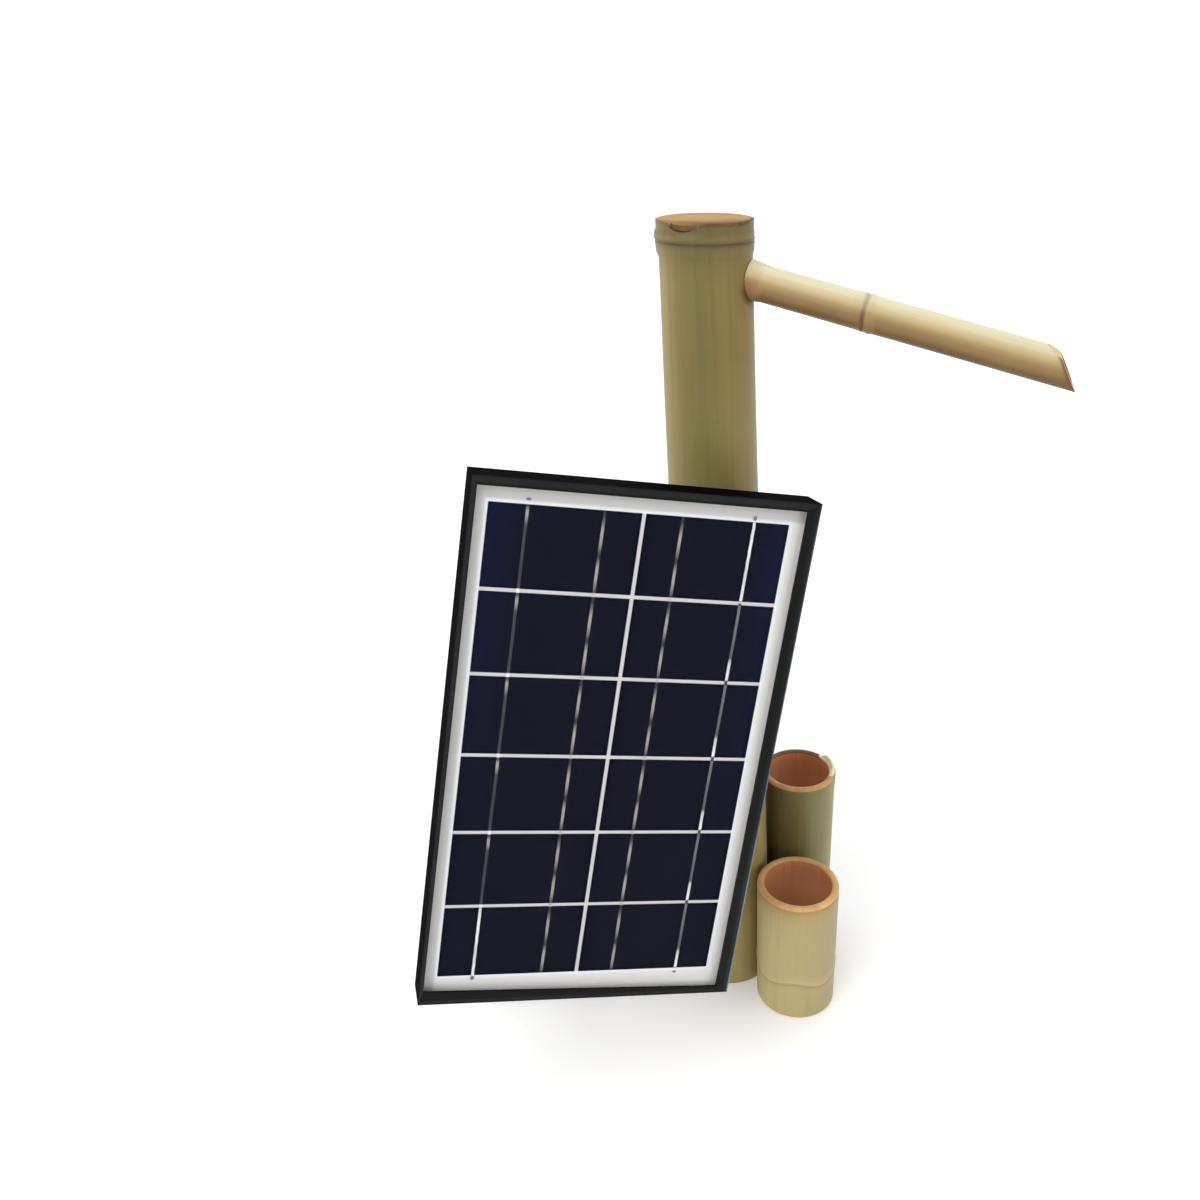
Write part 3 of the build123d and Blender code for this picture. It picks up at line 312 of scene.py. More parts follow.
def addFloor():
    bm = bmesh.new()
    bmesh.ops.create_grid(bm, x_segments=8, y_segments=8, size=40.0)
    floor = addObject("floor", bm)
    # seamless background paper: matt, almost white, with a very fine tooth; lit from within far away
    material, add = newMaterial("background_paper", Roughness=0.9, Emission_Color=tint(1.0))
    spot = add("TexCoord")
    glow = add("MapRange", add("VectorMath LENGTH", spot, out="Value"), 0.4, 2.5, 0.22, 0.75)
    tooth = add("TexNoise", spot, 1 / (4.545 * mm), 3.0)
    shade = add("ValToRGB", tooth, stops=[(0.3, "#F4F4F4"), (0.7, "#F7F7F7")])
    floor.data.materials.append(dress(material, Base_Color=shade, Emission_Strength=glow))


addCamera()
addLights()
addFloor()
print("camera, lights and floor set")


# Bamboo skin is a hard waxy rind over long fibres: satin, streaked lengthwise, never flat in colour.
# Lengths are in mm and angles in degrees.

post = {
    "height": 450.0, "lean": (-9.0, 8.0), "foot": 25.3, "neck": 21.9, "rim": 22.8, "wall": 4.2,
    "nodes": (190.0, 443.0), "swells": (0.8, 0.75), "plugUnder": 441.8, "plugRadius": 17.7, "plugSunk": 0.25,
    "topRise": 0.65, "topSlant": 3.6, "topTip": 0.3, "ringSlant": 4.1, "ringDrop": 2.0, "slantStart": 424.0,
    "archRadius": 9.0, "archHeading": 100.0, "steps": 144,
    "spare": 1.5,  # sawn off at the foot once the post leans
    "topBand": 8.0,  # the height that wear and the chip reshape
    # where the skin has broken away from the rim at the front left
    "chipHeading": 237.0, "chipSpread": 19.0, "chipFade": 2.0, "chipDepth": 2.7, "skinDrop": (0.2, 1.5),
    # bands by their distance in from the rim: the split and the wood behind it, both painted dark as shade
    "splitBand": (1.16, 0.3), "darkRimBand": (1.9, 1.0), "darkRimFrom": -8.0,
    # the rim is rubbed down most at the front
    "rimWear": 1.8, "leastWear": 0.25, "wearHeading": 265.0, "unevenness": 0.32, "unevenTurn": 1.1,
}
spout = {
    "crossing": 428.0, "hole": 7.65, "tail": 8.6, "tenon": 7.6, "shoulder": 25.4, "shoulderLength": 4.0,
    "radius": 8.4, "mouth": 8.45, "bore": 6.1, "rootFlare": 9.3, "postGap": 0.2, "node": 77.0, "swell": 0.38,
    "ringBend": 2.2, "upperLip": 163.0, "lowerLip": 177.2, "mouthBore": 5.2, "pareStart": 158.2,
    "pareAngle": 24.0, "unevenness": 0.16, "unevenTurn": 2.3, "steps": 80,
    "coped": (390, 460),  # the stretch of the post that its root is cut to fit
}
cups = {
    "rear_cup": {
        "heading": 19.5, "foot": 0.98, "radius": 21.4, "height": 130.0, "wall": 3.5, "node": 46.0, "floor": 4.0,
        "swell": 0.4, "lipShare": 0.5, "splinter": 2.7, "splinterHeading": 4.0, "splinterSpread": 27.0,
        "lipFlare": 0.5, "ringDrop": 0.0, "ringSag": 0.0, "brownFrom": 34.0, "brownTurn": 150.0, "steps": 112},
    "front_cup": {
        "heading": -42.8, "foot": 0.98, "radius": 23.4, "height": 85.7, "wall": 4.0, "node": 30.0, "floor": 4.0,
        "swell": 0.32, "lipShare": 0.48, "splinter": 0.0, "splinterHeading": 0.0, "splinterSpread": 20.0,
        "lipFlare": 0.0, "ringDrop": 2.2, "ringSag": 4.2, "brownFrom": 0.0, "brownTurn": 0.0, "steps": 120},
}
seatGap = 0.3  # between a cup and the post
cupSagHeading = -102.0  # of the middle of the front cup's ring
cupUnevenness = 0.22
cutterReach, cutterSteps = 60, 48  # of the round cutters
sawn, inside, split, darkRim = 1, 2, 3, 4  # a culm's materials after its rind
for cup in cups.values():
    cup["centre"] = heading(cup["heading"]) * (post["foot"] + cup["radius"] + seatGap)
postEnd = Vector((*post["lean"], post["height"]))
postPlacing = placing((0, 0, 0), postEnd.normalized(), (1, 0, 0))
spoutRoot = postEnd * spout["crossing"] / post["height"] * mm
spoutPlacing = placing(spoutRoot, Vector(joints["spout_pull"]["axis"]).normalized(), (0, 0, 1))


def ringShape(distance, swell, scarShare=1.0):
    # a bamboo node, distance up from the sheath scar: sharp scar, groove, then a broad soft ridge
    scar = scarShare * 0.75 * exp(-((distance + 0.9) / 0.8) ** 2)
    groove = -0.35 * exp(-((distance - 0.35) / 0.5) ** 2)
    ridge = 0.95 * exp(-((distance - 2.3) / 1.5) ** 2) + 0.25 * exp(-((distance - 1.0) / 5.0) ** 2)
    return swell * (scar + groove + ridge)


def culmSide(foot, top, height, rings, swells, start=0.0, step=9.0, fineStep=0.45, reach=9.0, rim=None,
             scars=(1.0, 1.0)):
    # outer side of a culm from start to height, with its node rings, as (radius, height)
    levels = {start, height}
    level = start
    while level < height:
        levels.add(round(level, 3))
        level += step
    for ring in rings:
        count = int(2 * reach / fineStep)
        levels |= {round(ring - reach + i * fineStep, 3) for i in range(count + 1)}
    side = []
    for level in sorted(levels):
        if not start <= level <= height:
            continue
        plain = foot + (top - foot) * level / height
        radius = plain + sum(ringShape(level - ring, *shape) for ring, *shape in zip(rings, swells, scars))
        if rim and level > max(rings):
            # the band above the last ring eases out to the sawn rim
            share = (level - max(rings)) / (height - max(rings))
            radius = max(radius, plain + (rim - top) * min(1.0, 0.75 + share * 0.25))
        side.append((radius, level))
    return side


def waver(spot, turn):
    # how far a real culm is out of round at a spot, and how that wavers along its length
    around, height = atan2(spot.y, spot.x), spot.z / mm
    return (0.5 * sin(2 * around + turn) + 0.3 * sin(3 * around + 1.7 * turn + height * 0.012)
            + 0.25 * sin(height * 0.045 + turn) * sin(around + turn))


def growUneven(bm, amount, turn, inner):
    for vert in bm.verts:
        radius = vert.co.xy.length
        if radius >= inner * mm:
            vert.co.xy *= 1 + amount * waver(vert.co, turn) * mm / radius


def culmMaterial(name, matrix, look):
    # aged bamboo rind: waxy satin, long fibre streaks, bands round the culm that are partly weathering and
    # partly painted light and shade
    material, add = newMaterial(name, IOR=1.4)
    spot = placedSpot(add, matrix)
    x, y, z = add("SeparateXYZ", spot, out="all")

    # bands of colour round the culm, their edges wandering
    drift = add("TexNoise", add("Mapping", spot, sized(22.222, 22.222, 111.11)), 1.0, 2.0, out="Color")
    moved = add("VectorMath ADD", drift, (-0.5, -0.5, -0.5))
    moved = add("VectorMath SCALE", moved, None, None, look["wander"] * mm)
    around = add("TexGradient RADIAL", add("VectorMath ADD", spot, moved))
    colour = add("ValToRGB", around, stops=look["bands"])

    # broad weathering, long streaks, then single fibres about half a millimetre wide
    weather, streak, fibre = [
        add("TexNoise", add("Mapping", spot, sized(across, across, along)), 1.0, detail, 0.55)
        for across, along, detail in ((16, 42, 4.0), (3.4, 150, 4.0), (0.55, 30, 2.0))]
    share = add("Math MULTIPLY", add("ValToRGB", weather, stops=[(0.36, 0.0), (0.68, 1.0)]), look["weather"])
    colour = add("Mix", share, colour, tint(look["weathered"]))
    tone = add("ValToRGB", streak, stops=[(0.32, look["streakDark"]), (0.52, 1.0), (0.72, look["streakLight"])])
    colour = add("Mix MULTIPLY", look["streak"], colour, tone)
    tone = add("ValToRGB", fibre, stops=[(0.35, 0.8), (0.65, 1.0)])
    colour = add("Mix MULTIPLY", look["fibre"], colour, tone)

    # each band along the culm: at a node a dark line, a paler ridge and a stain that fades into the rind; some
    # bands carry painted light and shade, marked where they are listed
    for ring, reach, stops, *more in look["rings"]:
        more = more[0] if more else {}
        height = z
        if "slant" in more:
            height = add("Math ADD", height, add("Math MULTIPLY", x, tan(radians(more["slant"]))))
        if "bend" in more:
            below = add("Math POWER", add("MapRange", x, more["radius"] * mm, -more["radius"] * mm), 3.0)
            height = add("Math SUBTRACT", height, add("Math MULTIPLY", below, more["bend"] * mm))
        if "sag" in more:
            # sine of twice the turn from the sag's middle, squared
            middle = radians(2 * cupSagHeading)
            both = add("Math MULTIPLY", add("Math MULTIPLY", x, y), 2 * cos(middle))
            apart = add("Math SUBTRACT", add("Math POWER", x, 2.0), add("Math POWER", y, 2.0))
            twice = add("Math SUBTRACT", both, add("Math MULTIPLY", apart, sin(middle)))
            twice = add("Math POWER", add("Math DIVIDE", twice, (more["radius"] * mm) ** 2), 2.0)
            height = add("Math ADD", height, add("Math MULTIPLY", twice, more["sag"] * mm))
        level = add("MapRange", height, (ring - reach) * mm, (ring + reach) * mm)
        tone, share = add("ValToRGB", level, stops=stops, out="all")
        if "under" in more:
            # most on the underside
            lowest, highest, least = more["under"]
            low = add("MapRange", x, lowest * mm, highest * mm, 1.0, least)
            share = add("Math MULTIPLY", share, low)
        colour = add("Mix", share, colour, tone)
    if "stain" in look:
        # painted shadow round the lower half of the spout's hole, where the spout shades the post
        x, y, z = add("SeparateXYZ", placedSpot(add, look["stain"]), out="all")
        away = add("Math SQRT", add("Math ADD", add("Math POWER", x, 2.0), add("Math POWER", y, 2.0)))
        edge = add("MapRange", away, 9.9 * mm, 13.2 * mm, 1.0, 0.0)
        low = add("MapRange", x, -6.0 * mm, 1.0 * mm, 0.9, 0.0)
        share = add("Math MULTIPLY", add("Math MULTIPLY", edge, low), add("MapRange", z, 4.0 * mm, 10.0 * mm))
        colour = add("Mix", share, colour, tint("#3A2A14"))

    gloss = add("MapRange", streak, 0.3, 0.7, *look["rough"])
    relief = add("Bump", add("Math ADD", streak, fibre), 0.35, 0.12 * mm)
    return dress(material, Base_Color=colour, Roughness=gloss, Normal=relief)


def surface(name, tones, patch, grain, rough, depth, mottle=0.15, matrix=None, **sockets):
    # tones drift in patches, and a grain drives the gloss, a little colour and the relief; sizes in mm
    material, add = newMaterial(name, **sockets)
    spot = placedSpot(add, matrix or Matrix())
    tone = add("ValToRGB", add("TexNoise", spot, 1 / (patch * mm), 3.0), stops=list(zip((0.35, 0.65), tones)))
    grain = grain if isinstance(grain, tuple) else (grain,) * 3
    fine = add("TexNoise", add("Mapping", spot, sized(*grain)), 1.0, 3.0)
    shade = add("ValToRGB", fine, stops=[(0.35, 1 - mottle), (0.65, 1.0)])
    return dress(material, Base_Color=add("Mix MULTIPLY", 1.0, tone, shade),
                 Roughness=add("MapRange", fine, 0.3, 0.7, *rough), Normal=add("Bump", fine, 0.5, depth * mm))


def cutMaterial(name, matrix, tones, dots, frontDarkening=None):
    # sawn bamboo: dry and matt, pale pith with darker fibre bundles standing as dots
    material, add = newMaterial(name, Roughness=0.72, IOR=1.45)
    spot = placedSpot(add, matrix)
    bundles = add("TexVoronoi", add("Mapping", spot, sized(1.1, 1.1, 30)), 1.0)
    patches = add("TexNoise", spot, 1 / (7.6923 * mm), 5.0, 0.6)
    tone = add("ValToRGB", patches, stops=list(zip((0.32, 0.5, 0.68), tones)))
    colour = add("Mix MULTIPLY", dots, tone, add("ValToRGB", bundles, stops=[(0.12, 0.0), (0.42, 1.0)]))
    if frontDarkening:
        # darker towards the front
        back, front, stops = frontDarkening
        depth = add("MapRange", add("SeparateXYZ", spot, out="Y"), back * mm, front * mm)
        colour = add("Mix MULTIPLY", 1.0, colour, add("ValToRGB", depth, stops=stops))
    return dress(material, Base_Color=colour, Normal=add("Bump", bundles, 0.4, 0.1 * mm))


def insideMaterial(name, matrix, tones, deep=None):
    # the culm's inner wall: papery, faint lengthwise lines; its brown is partly its own colour and partly
    # painted shade of the hollow
    material, add = newMaterial(name, Roughness=0.68, IOR=1.45)
    spot = placedSpot(add, matrix)
    lines = add("TexNoise", add("Mapping", spot, sized(1.8, 1.8, 50)), 1.0, 4.0)
    colour = add("ValToRGB", lines, stops=list(zip((0.3, 0.5, 0.72), tones)))
    if deep:
        # painted light: paler further down, against the shade deep in the hollow
        upper, lower, pale = deep
        share = add("MapRange", add("SeparateXYZ", spot, out="Z"), upper * mm, lower * mm)
        colour = add("Mix", share, colour, tint(pale))
    return dress(material, Base_Color=colour, Normal=add("Bump", lines, 0.4, 0.15 * mm))


# bands run round a culm; a ring has its height, its reach both ways, and stops of (place, colour, share)
skins = {
    "post": {
        "bands": [(0.0, "#978664"), (0.07, "#92824E"), (0.13, "#766A39"), (0.17, "#6C6532"), (0.22, "#66602D"),
                  (0.25, "#6E6331"), (0.30, "#766933"), (0.37, "#7D6834"), (0.44, "#807341"), (0.49, "#988B68"),
                  (0.62, "#83764A"), (0.78, "#746D40"), (0.92, "#8D8154"), (1.0, "#978664")],
        "wander": 4.0, "weather": 0.22, "weathered": "#867044", "streak": 0.3, "fibre": 0.22,
        "streakDark": "#BDB49C", "streakLight": "#FFFDF2", "rough": (0.4, 0.52),
        # where the painted shadow below the spout lies
        "stain": spoutPlacing,
        "rings": [
            (190.0, 14.0, [(0.0, "#665B33", 0.0), (0.42, "#665B33", 0.4), (0.47, "#A5976A", 0.5),
                           (0.515, "#4E4226", 0.7), (0.56, "#978A58", 0.4), (1.0, "#8C8252", 0.0)]),
            (440.9, 18.0, [(0.0, "#564C28", 0.0), (0.4, "#564C28", 0.3), (0.465, "#4A4020", 0.5),
                           (0.495, "#3E3519", 0.75), (0.525, "#463C1E", 0.65), (0.555, "#5A5029", 0.4),
                           (0.585, "#5A5029", 0.35), (0.64, "#4A4020", 0.5), (1.0, "#4A3C1C", 0.55)],
             {"slant": 4.1}),
            # painted light half way up, over the shadow that the panel casts on the post
            (345.0, 42.0, [(0.0, "#A69A60", 0.0), (0.3, "#A69A60", 0.22), (0.6, "#A69A60", 0.2),
                           (1.0, "#A69A60", 0.0)]),
            # paler near the ground: partly the culm's own drier colour, partly painted light over the shade of
            # the panel and the front cup
            (48.0, 44.0, [(0.0, "#B0A268", 0.2), (0.5, "#B0A268", 0.3), (1.0, "#B0A268", 0.0)]),
            (40.0, 130.0, [(0.0, "#B3A06A", 0.75), (0.7, "#AD9A66", 0.65), (1.0, "#A5935F", 0.0)]),
        ],
    },
    "spout": {
        # partly its own colour, weathered brown underneath, and partly painted light and shade: a cream
        # highlight along the top, darker down the underside
        "bands": [(0.0, "#4C3519"), (0.08, "#5C4422"), (0.18, "#7F643A"), (0.28, "#A99262"), (0.38, "#CFC69C"),
                  (0.48, "#E1DBBC"), (0.555, "#DDD8BA"), (0.611, "#D4CBAA"), (0.665, "#C1AF85"),
                  (0.714, "#9E885B"), (0.763, "#866C42"), (0.817, "#735832"), (0.872, "#5F4623"),
                  (1.0, "#4C3519")],
        "wander": 1.2, "weather": 0.12, "weathered": "#C8A870", "streak": 0.25, "fibre": 0.2,
        "streakDark": "#D6C9A8", "streakLight": "#FFFDF4", "rough": (0.36, 0.46),
        "rings": [
            (77.0, 7.0, [(0.0, "#8A6C40", 0.0), (0.36, "#80623A", 0.3), (0.42, "#6A4C28", 0.75),
                         (0.49, "#543818", 0.9), (0.55, "#5E421F", 0.75), (0.61, "#A08A5C", 0.3),
                         (1.0, "#C0AC7C", 0.0)], {"bend": 2.2, "radius": 8.7, "under": (-1.0, 4.0, 0.45)}),
            (22.6, 8.0, [(0.0, "#865A38", 0.9), (0.6, "#8C623E", 0.85), (0.76, "#8E6A46", 0.7),
                         (0.85, "#A0845A", 0.15), (1.0, "#B09A6C", 0.0)], {"under": (0.5, 3.5, 0.12)}),
            # the mouth's edge is rubbed brown
            (170.0, 4.0, [(0.0, "#6E5230", 0.0), (0.22, "#6E5230", 0.1), (0.36, "#60441F", 0.75),
                          (1.0, "#4C3216", 0.9)], {"slant": 38.2}),
        ],
    },
    "rear_cup": {
        # its own green, darkened on the left towards the post as painted shade
        "bands": [(0.0, "#5A4F2C"), (0.10, "#5E5430"), (0.2, "#6A6038"), (0.27, "#747044"), (0.36, "#857F50"),
                  (0.46, "#9A9362"), (0.54, "#A59D6E"), (0.66, "#8F8858"), (0.8, "#7D7548"), (1.0, "#5F5431")],
        "wander": 3.0, "weather": 0.16, "weathered": "#6B5A35", "streak": 0.3, "fibre": 0.2,
        "streakDark": "#B9B29A", "streakLight": "#FFFDF0", "rough": (0.38, 0.5),
        "rings": [
            (46.0, 10.0, [(0.0, "#57502E", 0.0), (0.42, "#57502E", 0.4), (0.48, "#453A20", 0.6),
                          (0.56, "#A59C6C", 0.4), (1.0, "#77764A", 0.0)]),
            (130.0, 4.0, [(0.0, "#8A7A48", 0.0), (0.3, "#A8874F", 0.25), (0.45, "#B98F5C", 0.8),
                          (1.0, "#C99C66", 0.95)]),
        ],
    },
    "front_cup": {
        "bands": [(0.0, "#BAA877"), (0.1, "#C0AF7C"), (0.17, "#B6A876"), (0.25, "#B0A072"), (0.35, "#A8986E"),
                  (0.46, "#A59670"), (0.65, "#A59668"), (0.85, "#AC9C6C"), (1.0, "#BAA877")],
        "wander": 3.0, "weather": 0.2, "weathered": "#B2A36C", "streak": 0.22, "fibre": 0.2,
        "streakDark": "#CFC5A8", "streakLight": "#FFFDF4", "rough": (0.4, 0.52),
        "rings": [
            # its node: a paler line above a darker one, painted highlight and shadow of the ring's ridge
            (27.8, 8.0, [(0.0, "#B5A572", 0.0), (0.36, "#AB9862", 0.3), (0.45, "#9A8352", 0.5),
                         (0.52, "#A08A58", 0.35), (0.6, "#CABA88", 0.5), (0.78, "#C2B280", 0.25),
                         (1.0, "#BFAE7C", 0.0)], {"sag": 4.2, "radius": 23.2}),
            (85.7, 14.0, [(0.0, "#AA8A52", 0.0), (0.25, "#A88A52", 0.4), (0.42, "#A87E46", 0.8),
                          (0.48, "#C49860", 0.9), (1.0, "#DDB074", 0.95)]),
        ],
    },
}


def buildPost():
    top = post["height"] + post["topRise"]
    wear, chipDepth = post["rimWear"], post["chipDepth"]
    side = culmSide(post["foot"], post["neck"], top - wear, post["nodes"], post["swells"], rim=post["rim"],
                    start=-post["spare"], scars=(1.0, 0.15))
    plug, rim = post["plugRadius"], side[-1][0]
    plugTop = top - post["plugSunk"]
    # from the middle of the saw cut outwards: distance in from the rim, wear there, and how deep the chip goes
    steps = [(4.2, 0.0, 0.0), (2.8, 0.0, 0.5), (1.9, 0.05, 1.3), (1.5, 0.2, 1.9), (1.15, 0.55, chipDepth),
             (0.85, 0.95, 2.1 * chipDepth), (0.45, wear * 0.75, 1.6 * chipDepth)]
    profile = [(0, plugTop - 0.3), (6, plugTop - 0.15), (12, plugTop), (plug - 1.6, plugTop),
               (plug - 0.4, plugTop - 0.1), (plug, plugTop)]
    profile += [(rim - inset, top - worn) for inset, worn, depth in steps]
    profile += side[::-1]
    bore = post["foot"] - post["wall"]
    profile += [(bore, -post["spare"]), (bore - 1.2, post["nodes"][0]), (plug, post["plugUnder"]),
                (0, post["plugUnder"])]
    bm = spunProfile(profile, post["steps"])

    def chipShare(spot):
        past = abs(turnFrom(spot, post["chipHeading"])) - radians(post["chipSpread"])
        return 1 / (1 + exp(past / radians(post["chipFade"])))

    # the skin has broken away at the front left, leaving a split between it and the wood
    for vert in bm.verts:
        radius, level = measured(vert.co)
        base = top - post["topBand"]
        if level < base or radius < rim - 4.3:
            continue
        chip = chipShare(vert.co)
        worn = max(post["leastWear"], min(1.0, 2 * cos(turnFrom(vert.co, post["wearHeading"])) - 0.2))
        if radius < rim - 0.3 and level > top - wear - 0.5:
            nearest = min(steps, key=lambda step: abs(rim - step[0] - radius))
            vert.co.z = (top - nearest[1] * worn - chip * (nearest[2] - nearest[1] * 0.5)) * mm
        elif radius >= rim - 0.3:
            drop, bulge = post["skinDrop"]
            bulge *= max(0.0, 1 - (turnFrom(vert.co, post["chipHeading"]) / radians(post["chipSpread"])) ** 2)
            edge = top - wear * worn - chip * (drop + bulge)
            # the skin's rings above that edge close up to it, and the ones just below spread out
            vert.co.z = (base + (level - base) * (edge - base) / (top - wear - base)) * mm
    growUneven(bm, post["unevenness"], post["unevenTurn"], 10)
    # the culm bulges at its last ring, most on the left
    ringLevel = post["nodes"][1]
    for vert in bm.verts:
        radius, level = measured(vert.co)
        if radius > post["neck"] - 1.5:
            left = (1 - vert.co.x / mm / radius) / 2
            past = ease(ringLevel, ringLevel + 1.5, level)
            under = ease(ringLevel - 9, ringLevel - 4.5, level) * (1 - past)
            over = past * (1 - ease(ringLevel + 1.8, ringLevel + 4.5, level))
            vert.co.xy *= 1 + (under * (0.7 + 0.5 * left) + over * (0.15 + left)) / radius
    # the last ring and the saw cut both fall to the right, the ring more than the cut
    for vert in bm.verts:
        level = vert.co.z / mm
        below = min(1.0, max(0.0, (level - post["slantStart"]) / (ringLevel - post["slantStart"])))
        above = min(1.0, max(0.0, (level - ringLevel) / (top - 1.0 - ringLevel)))
        slant = post["ringSlant"] + above * (post["topSlant"] - post["ringSlant"])
        slant = below * below * (3 - 2 * below) * slant
        vert.co.z -= (vert.co.x * tan(radians(slant)) + vert.co.y * tan(radians(above * post["topTip"]))
                      + below * (1 - above) * post["ringDrop"] * mm)
    bmesh.ops.transform(bm, matrix=postPlacing, verts=bm.verts)
    sawOff(bm, (0, 0, 0), (0, 0, 1), clear_inner=True)
    bmesh.ops.bridge_loops(bm, edges=openEdges(bm))
    footRim = [edge for edge in bm.edges if all(v.co.z < 0.01 * mm and v.co.xy.length > (post["foot"] - 1) * mm
                                                for v in edge.verts)]
    roundEdges(bm, footRim, 0.5, 3, clamp=False)
    archPlacing = placing((0, 0, 0), heading(post["archHeading"]), (0, 0, 1))
    bm = carve(bm, [turnedCylinder(spoutPlacing, spout["hole"], spout["tail"], cutterReach, cutterSteps),
                    turnedCylinder(archPlacing, post["archRadius"], 0, cutterReach, cutterSteps)])
    toPost = postPlacing.inverted()
    turnToPost = toPost.to_3x3()
    for face in bm.faces:
        centre = toPost @ face.calc_center_median()
        normal = turnToPost @ face.normal
        radius, level = measured(centre)
        inwards = normal.xy.dot(centre.xy) < 0
        chipped = chipShare(centre) > 0.5
        upwards = level > top - 5 and normal.z > 0.2
        if level > top - 9:
            radius -= post["unevenness"] * waver(centre, post["unevenTurn"])
        # painted shade: the split, the chip's lower wood and the rim's sloping edge past the chip get dark
        # materials
        if level > top - 6.5 and rim - post["splitBand"][0] < radius < rim - post["splitBand"][1] and chipped:
            face.material_index = split
        elif chipped and upwards and rim - post["darkRimBand"][0] < radius < rim - post["darkRimBand"][1]:
            face.material_index = darkRim
        elif upwards and radius < rim - 1.3 + 0.25 * chipped:
            face.material_index = sawn
        elif upwards and radius < rim - 0.06 \
                and turnFrom(centre, post["chipHeading"]) > radians(post["darkRimFrom"]):
            face.material_index = darkRim
        elif level < 0.4 and normal.z < -0.5:
            face.material_index = sawn
        elif inwards and radius < post["foot"] - 2.0 and not (level > post["slantStart"] and radius > plug + 2):
            face.material_index = inside
        elif level > 100 and radius < plug + 1:
            face.material_index = inside
    frontDarkening = 3.0, -23.0, [(0.0, "#B99459"), (0.3, "#B28D55"), (0.6, "#A07B45"), (0.85, "#83612D"),
                        (1.0, "#6E4F20")]
    materials = [
        culmMaterial("aged_olive_bamboo", postPlacing, skins["post"]),
        cutMaterial("sawn_bamboo_orange", postPlacing, ("#ECE8E4", "#F6F3F0", "#FFFFFF"), 0.1, frontDarkening),
        insideMaterial("bamboo_inner_wall", postPlacing, ("#6B4A2C", "#8A6440", "#A3794E")),
        # the last two are painted shade: the dark split, and the brown of the chip's floor and the rim's
        # sloping edge
        insideMaterial("split_bamboo_shadow", postPlacing, ("#1E1408", "#2E2010", "#3E2C18")),
        cutMaterial("brown_rim_painted_shade", postPlacing, ("#4C3712", "#5E471B", "#6A5424"), 0.1),
    ]
    makePiece("leaning_post", bm, materials, "fountain", "main_post", sharp=38)


def buildSpout():
    radius, bore, flare, tenon = spout["radius"], spout["bore"], spout["rootFlare"], spout["tenon"]
    tail, shoulder, upperLip, lowerLip = spout["tail"], spout["shoulder"], spout["upperLip"], spout["lowerLip"]
    straight = culmSide(radius, spout["mouth"], lowerLip + 1, (spout["node"],), (spout["swell"],),
                        start=shoulder + spout["shoulderLength"], step=7.0, fineStep=0.35, reach=6.0)
    # the culm swells at its root and is coped to the post
    root = [(bore, tail), (tenon - 0.3, tail), (tenon, tail + 0.3), (tenon, tail + 4), (flare, tail + 4),
            (flare, shoulder - 5.4), (flare - 0.1, shoulder - 1.4), (flare - 0.4, shoulder + 1.1),
            (radius + 0.2, shoulder + 3.2)]
    # the wall thickens at the mouth
    profile = root + straight + [(spout["mouthBore"], lowerLip + 1), (spout["mouthBore"], upperLip - 8),
                                 (bore, upperLip - 25), (bore, tail)]
    bm = spunProfile(profile, spout["steps"])
    growUneven(bm, spout["unevenness"], spout["unevenTurn"], bore + 0.8)
    # the node ring runs a little towards the mouth on the underside
    for vert in bm.verts:
        near = exp(-((vert.co.z / mm - spout["node"]) / 9.0) ** 2)
        vert.co.z += near * spout["ringBend"] * mm * min(1.0, (1 - vert.co.x / (radius * mm)) / 2) ** 3
    share = spout["crossing"] / post["height"]
    postSurface = post["foot"] + (post["neck"] - post["foot"]) * share + spout["postGap"]
    postShape = turnedCylinder(spoutPlacing.inverted() @ postPlacing, postSurface, *spout["coped"], 96)
    tenonShape = turnedCylinder(Matrix(), tenon + 0.01, -cutterReach, cutterReach, cutterSteps)
    bm = carve(bm, [carve(postShape, [tenonShape])])
    # the mouth is sawn on the slant, its lower lip longer, and its rim rubbed round
    slant = Vector((lowerLip - upperLip, 0, 2 * spout["mouth"])).normalized()
    middle = Vector((0, 0, (upperLip + lowerLip) / 2)) * mm
    sawOff(bm, middle, slant, clear_outer=True)
    bmesh.ops.bridge_loops(bm, edges=openEdges(bm))
    # the upper lip is pared down to a shallower slant
    pareAt = Vector((spout["mouth"], 0, spout["pareStart"])) * mm
    pare = Vector((cos(radians(spout["pareAngle"])), 0, sin(radians(spout["pareAngle"]))))
    sawOff(bm, pareAt, pare, clear_outer=True)
    bmesh.ops.holes_fill(bm, edges=openEdges(bm), sides=0)

    def onCut(spot, reach):
        return abs((spot - middle).dot(slant)) < reach * mm or abs((spot - pareAt).dot(pare)) < reach * mm

    rim = [edge for edge in bm.edges if all(onCut(v.co, 0.01) for v in edge.verts)
           and len(edge.link_faces) == 2 and edge.calc_face_angle(0) > radians(14)]
    roundEdges(bm, rim, 0.5, 3)
    bmesh.ops.recalc_face_normals(bm, faces=bm.faces)
    for face in bm.faces:
        centre = face.calc_center_median()
        facing = max(face.normal.dot(slant), face.normal.dot(pare))
        if facing > 0.93 and centre.z > (spout["pareStart"] - 1) * mm and onCut(centre, 0.4):
            face.material_index = sawn
        elif centre.xy.length < (bore + 0.5) * mm:
            face.material_index = inside
    bmesh.ops.transform(bm, matrix=spoutPlacing, verts=bm.verts)
    materials = [
        culmMaterial("pale_cream_bamboo", spoutPlacing, skins["spout"]),
        cutMaterial("sawn_bamboo_cream", spoutPlacing, ("#B58F5C", "#D9BC86", "#E9D3A2"), 0.3),
        insideMaterial("spout_inner_wall", spoutPlacing, ("#4A321C", "#6E4C2C", "#8A6440")),
    ]
    makePiece("slanted_spout", bm, materials, "spout", "spout", sharp=38)


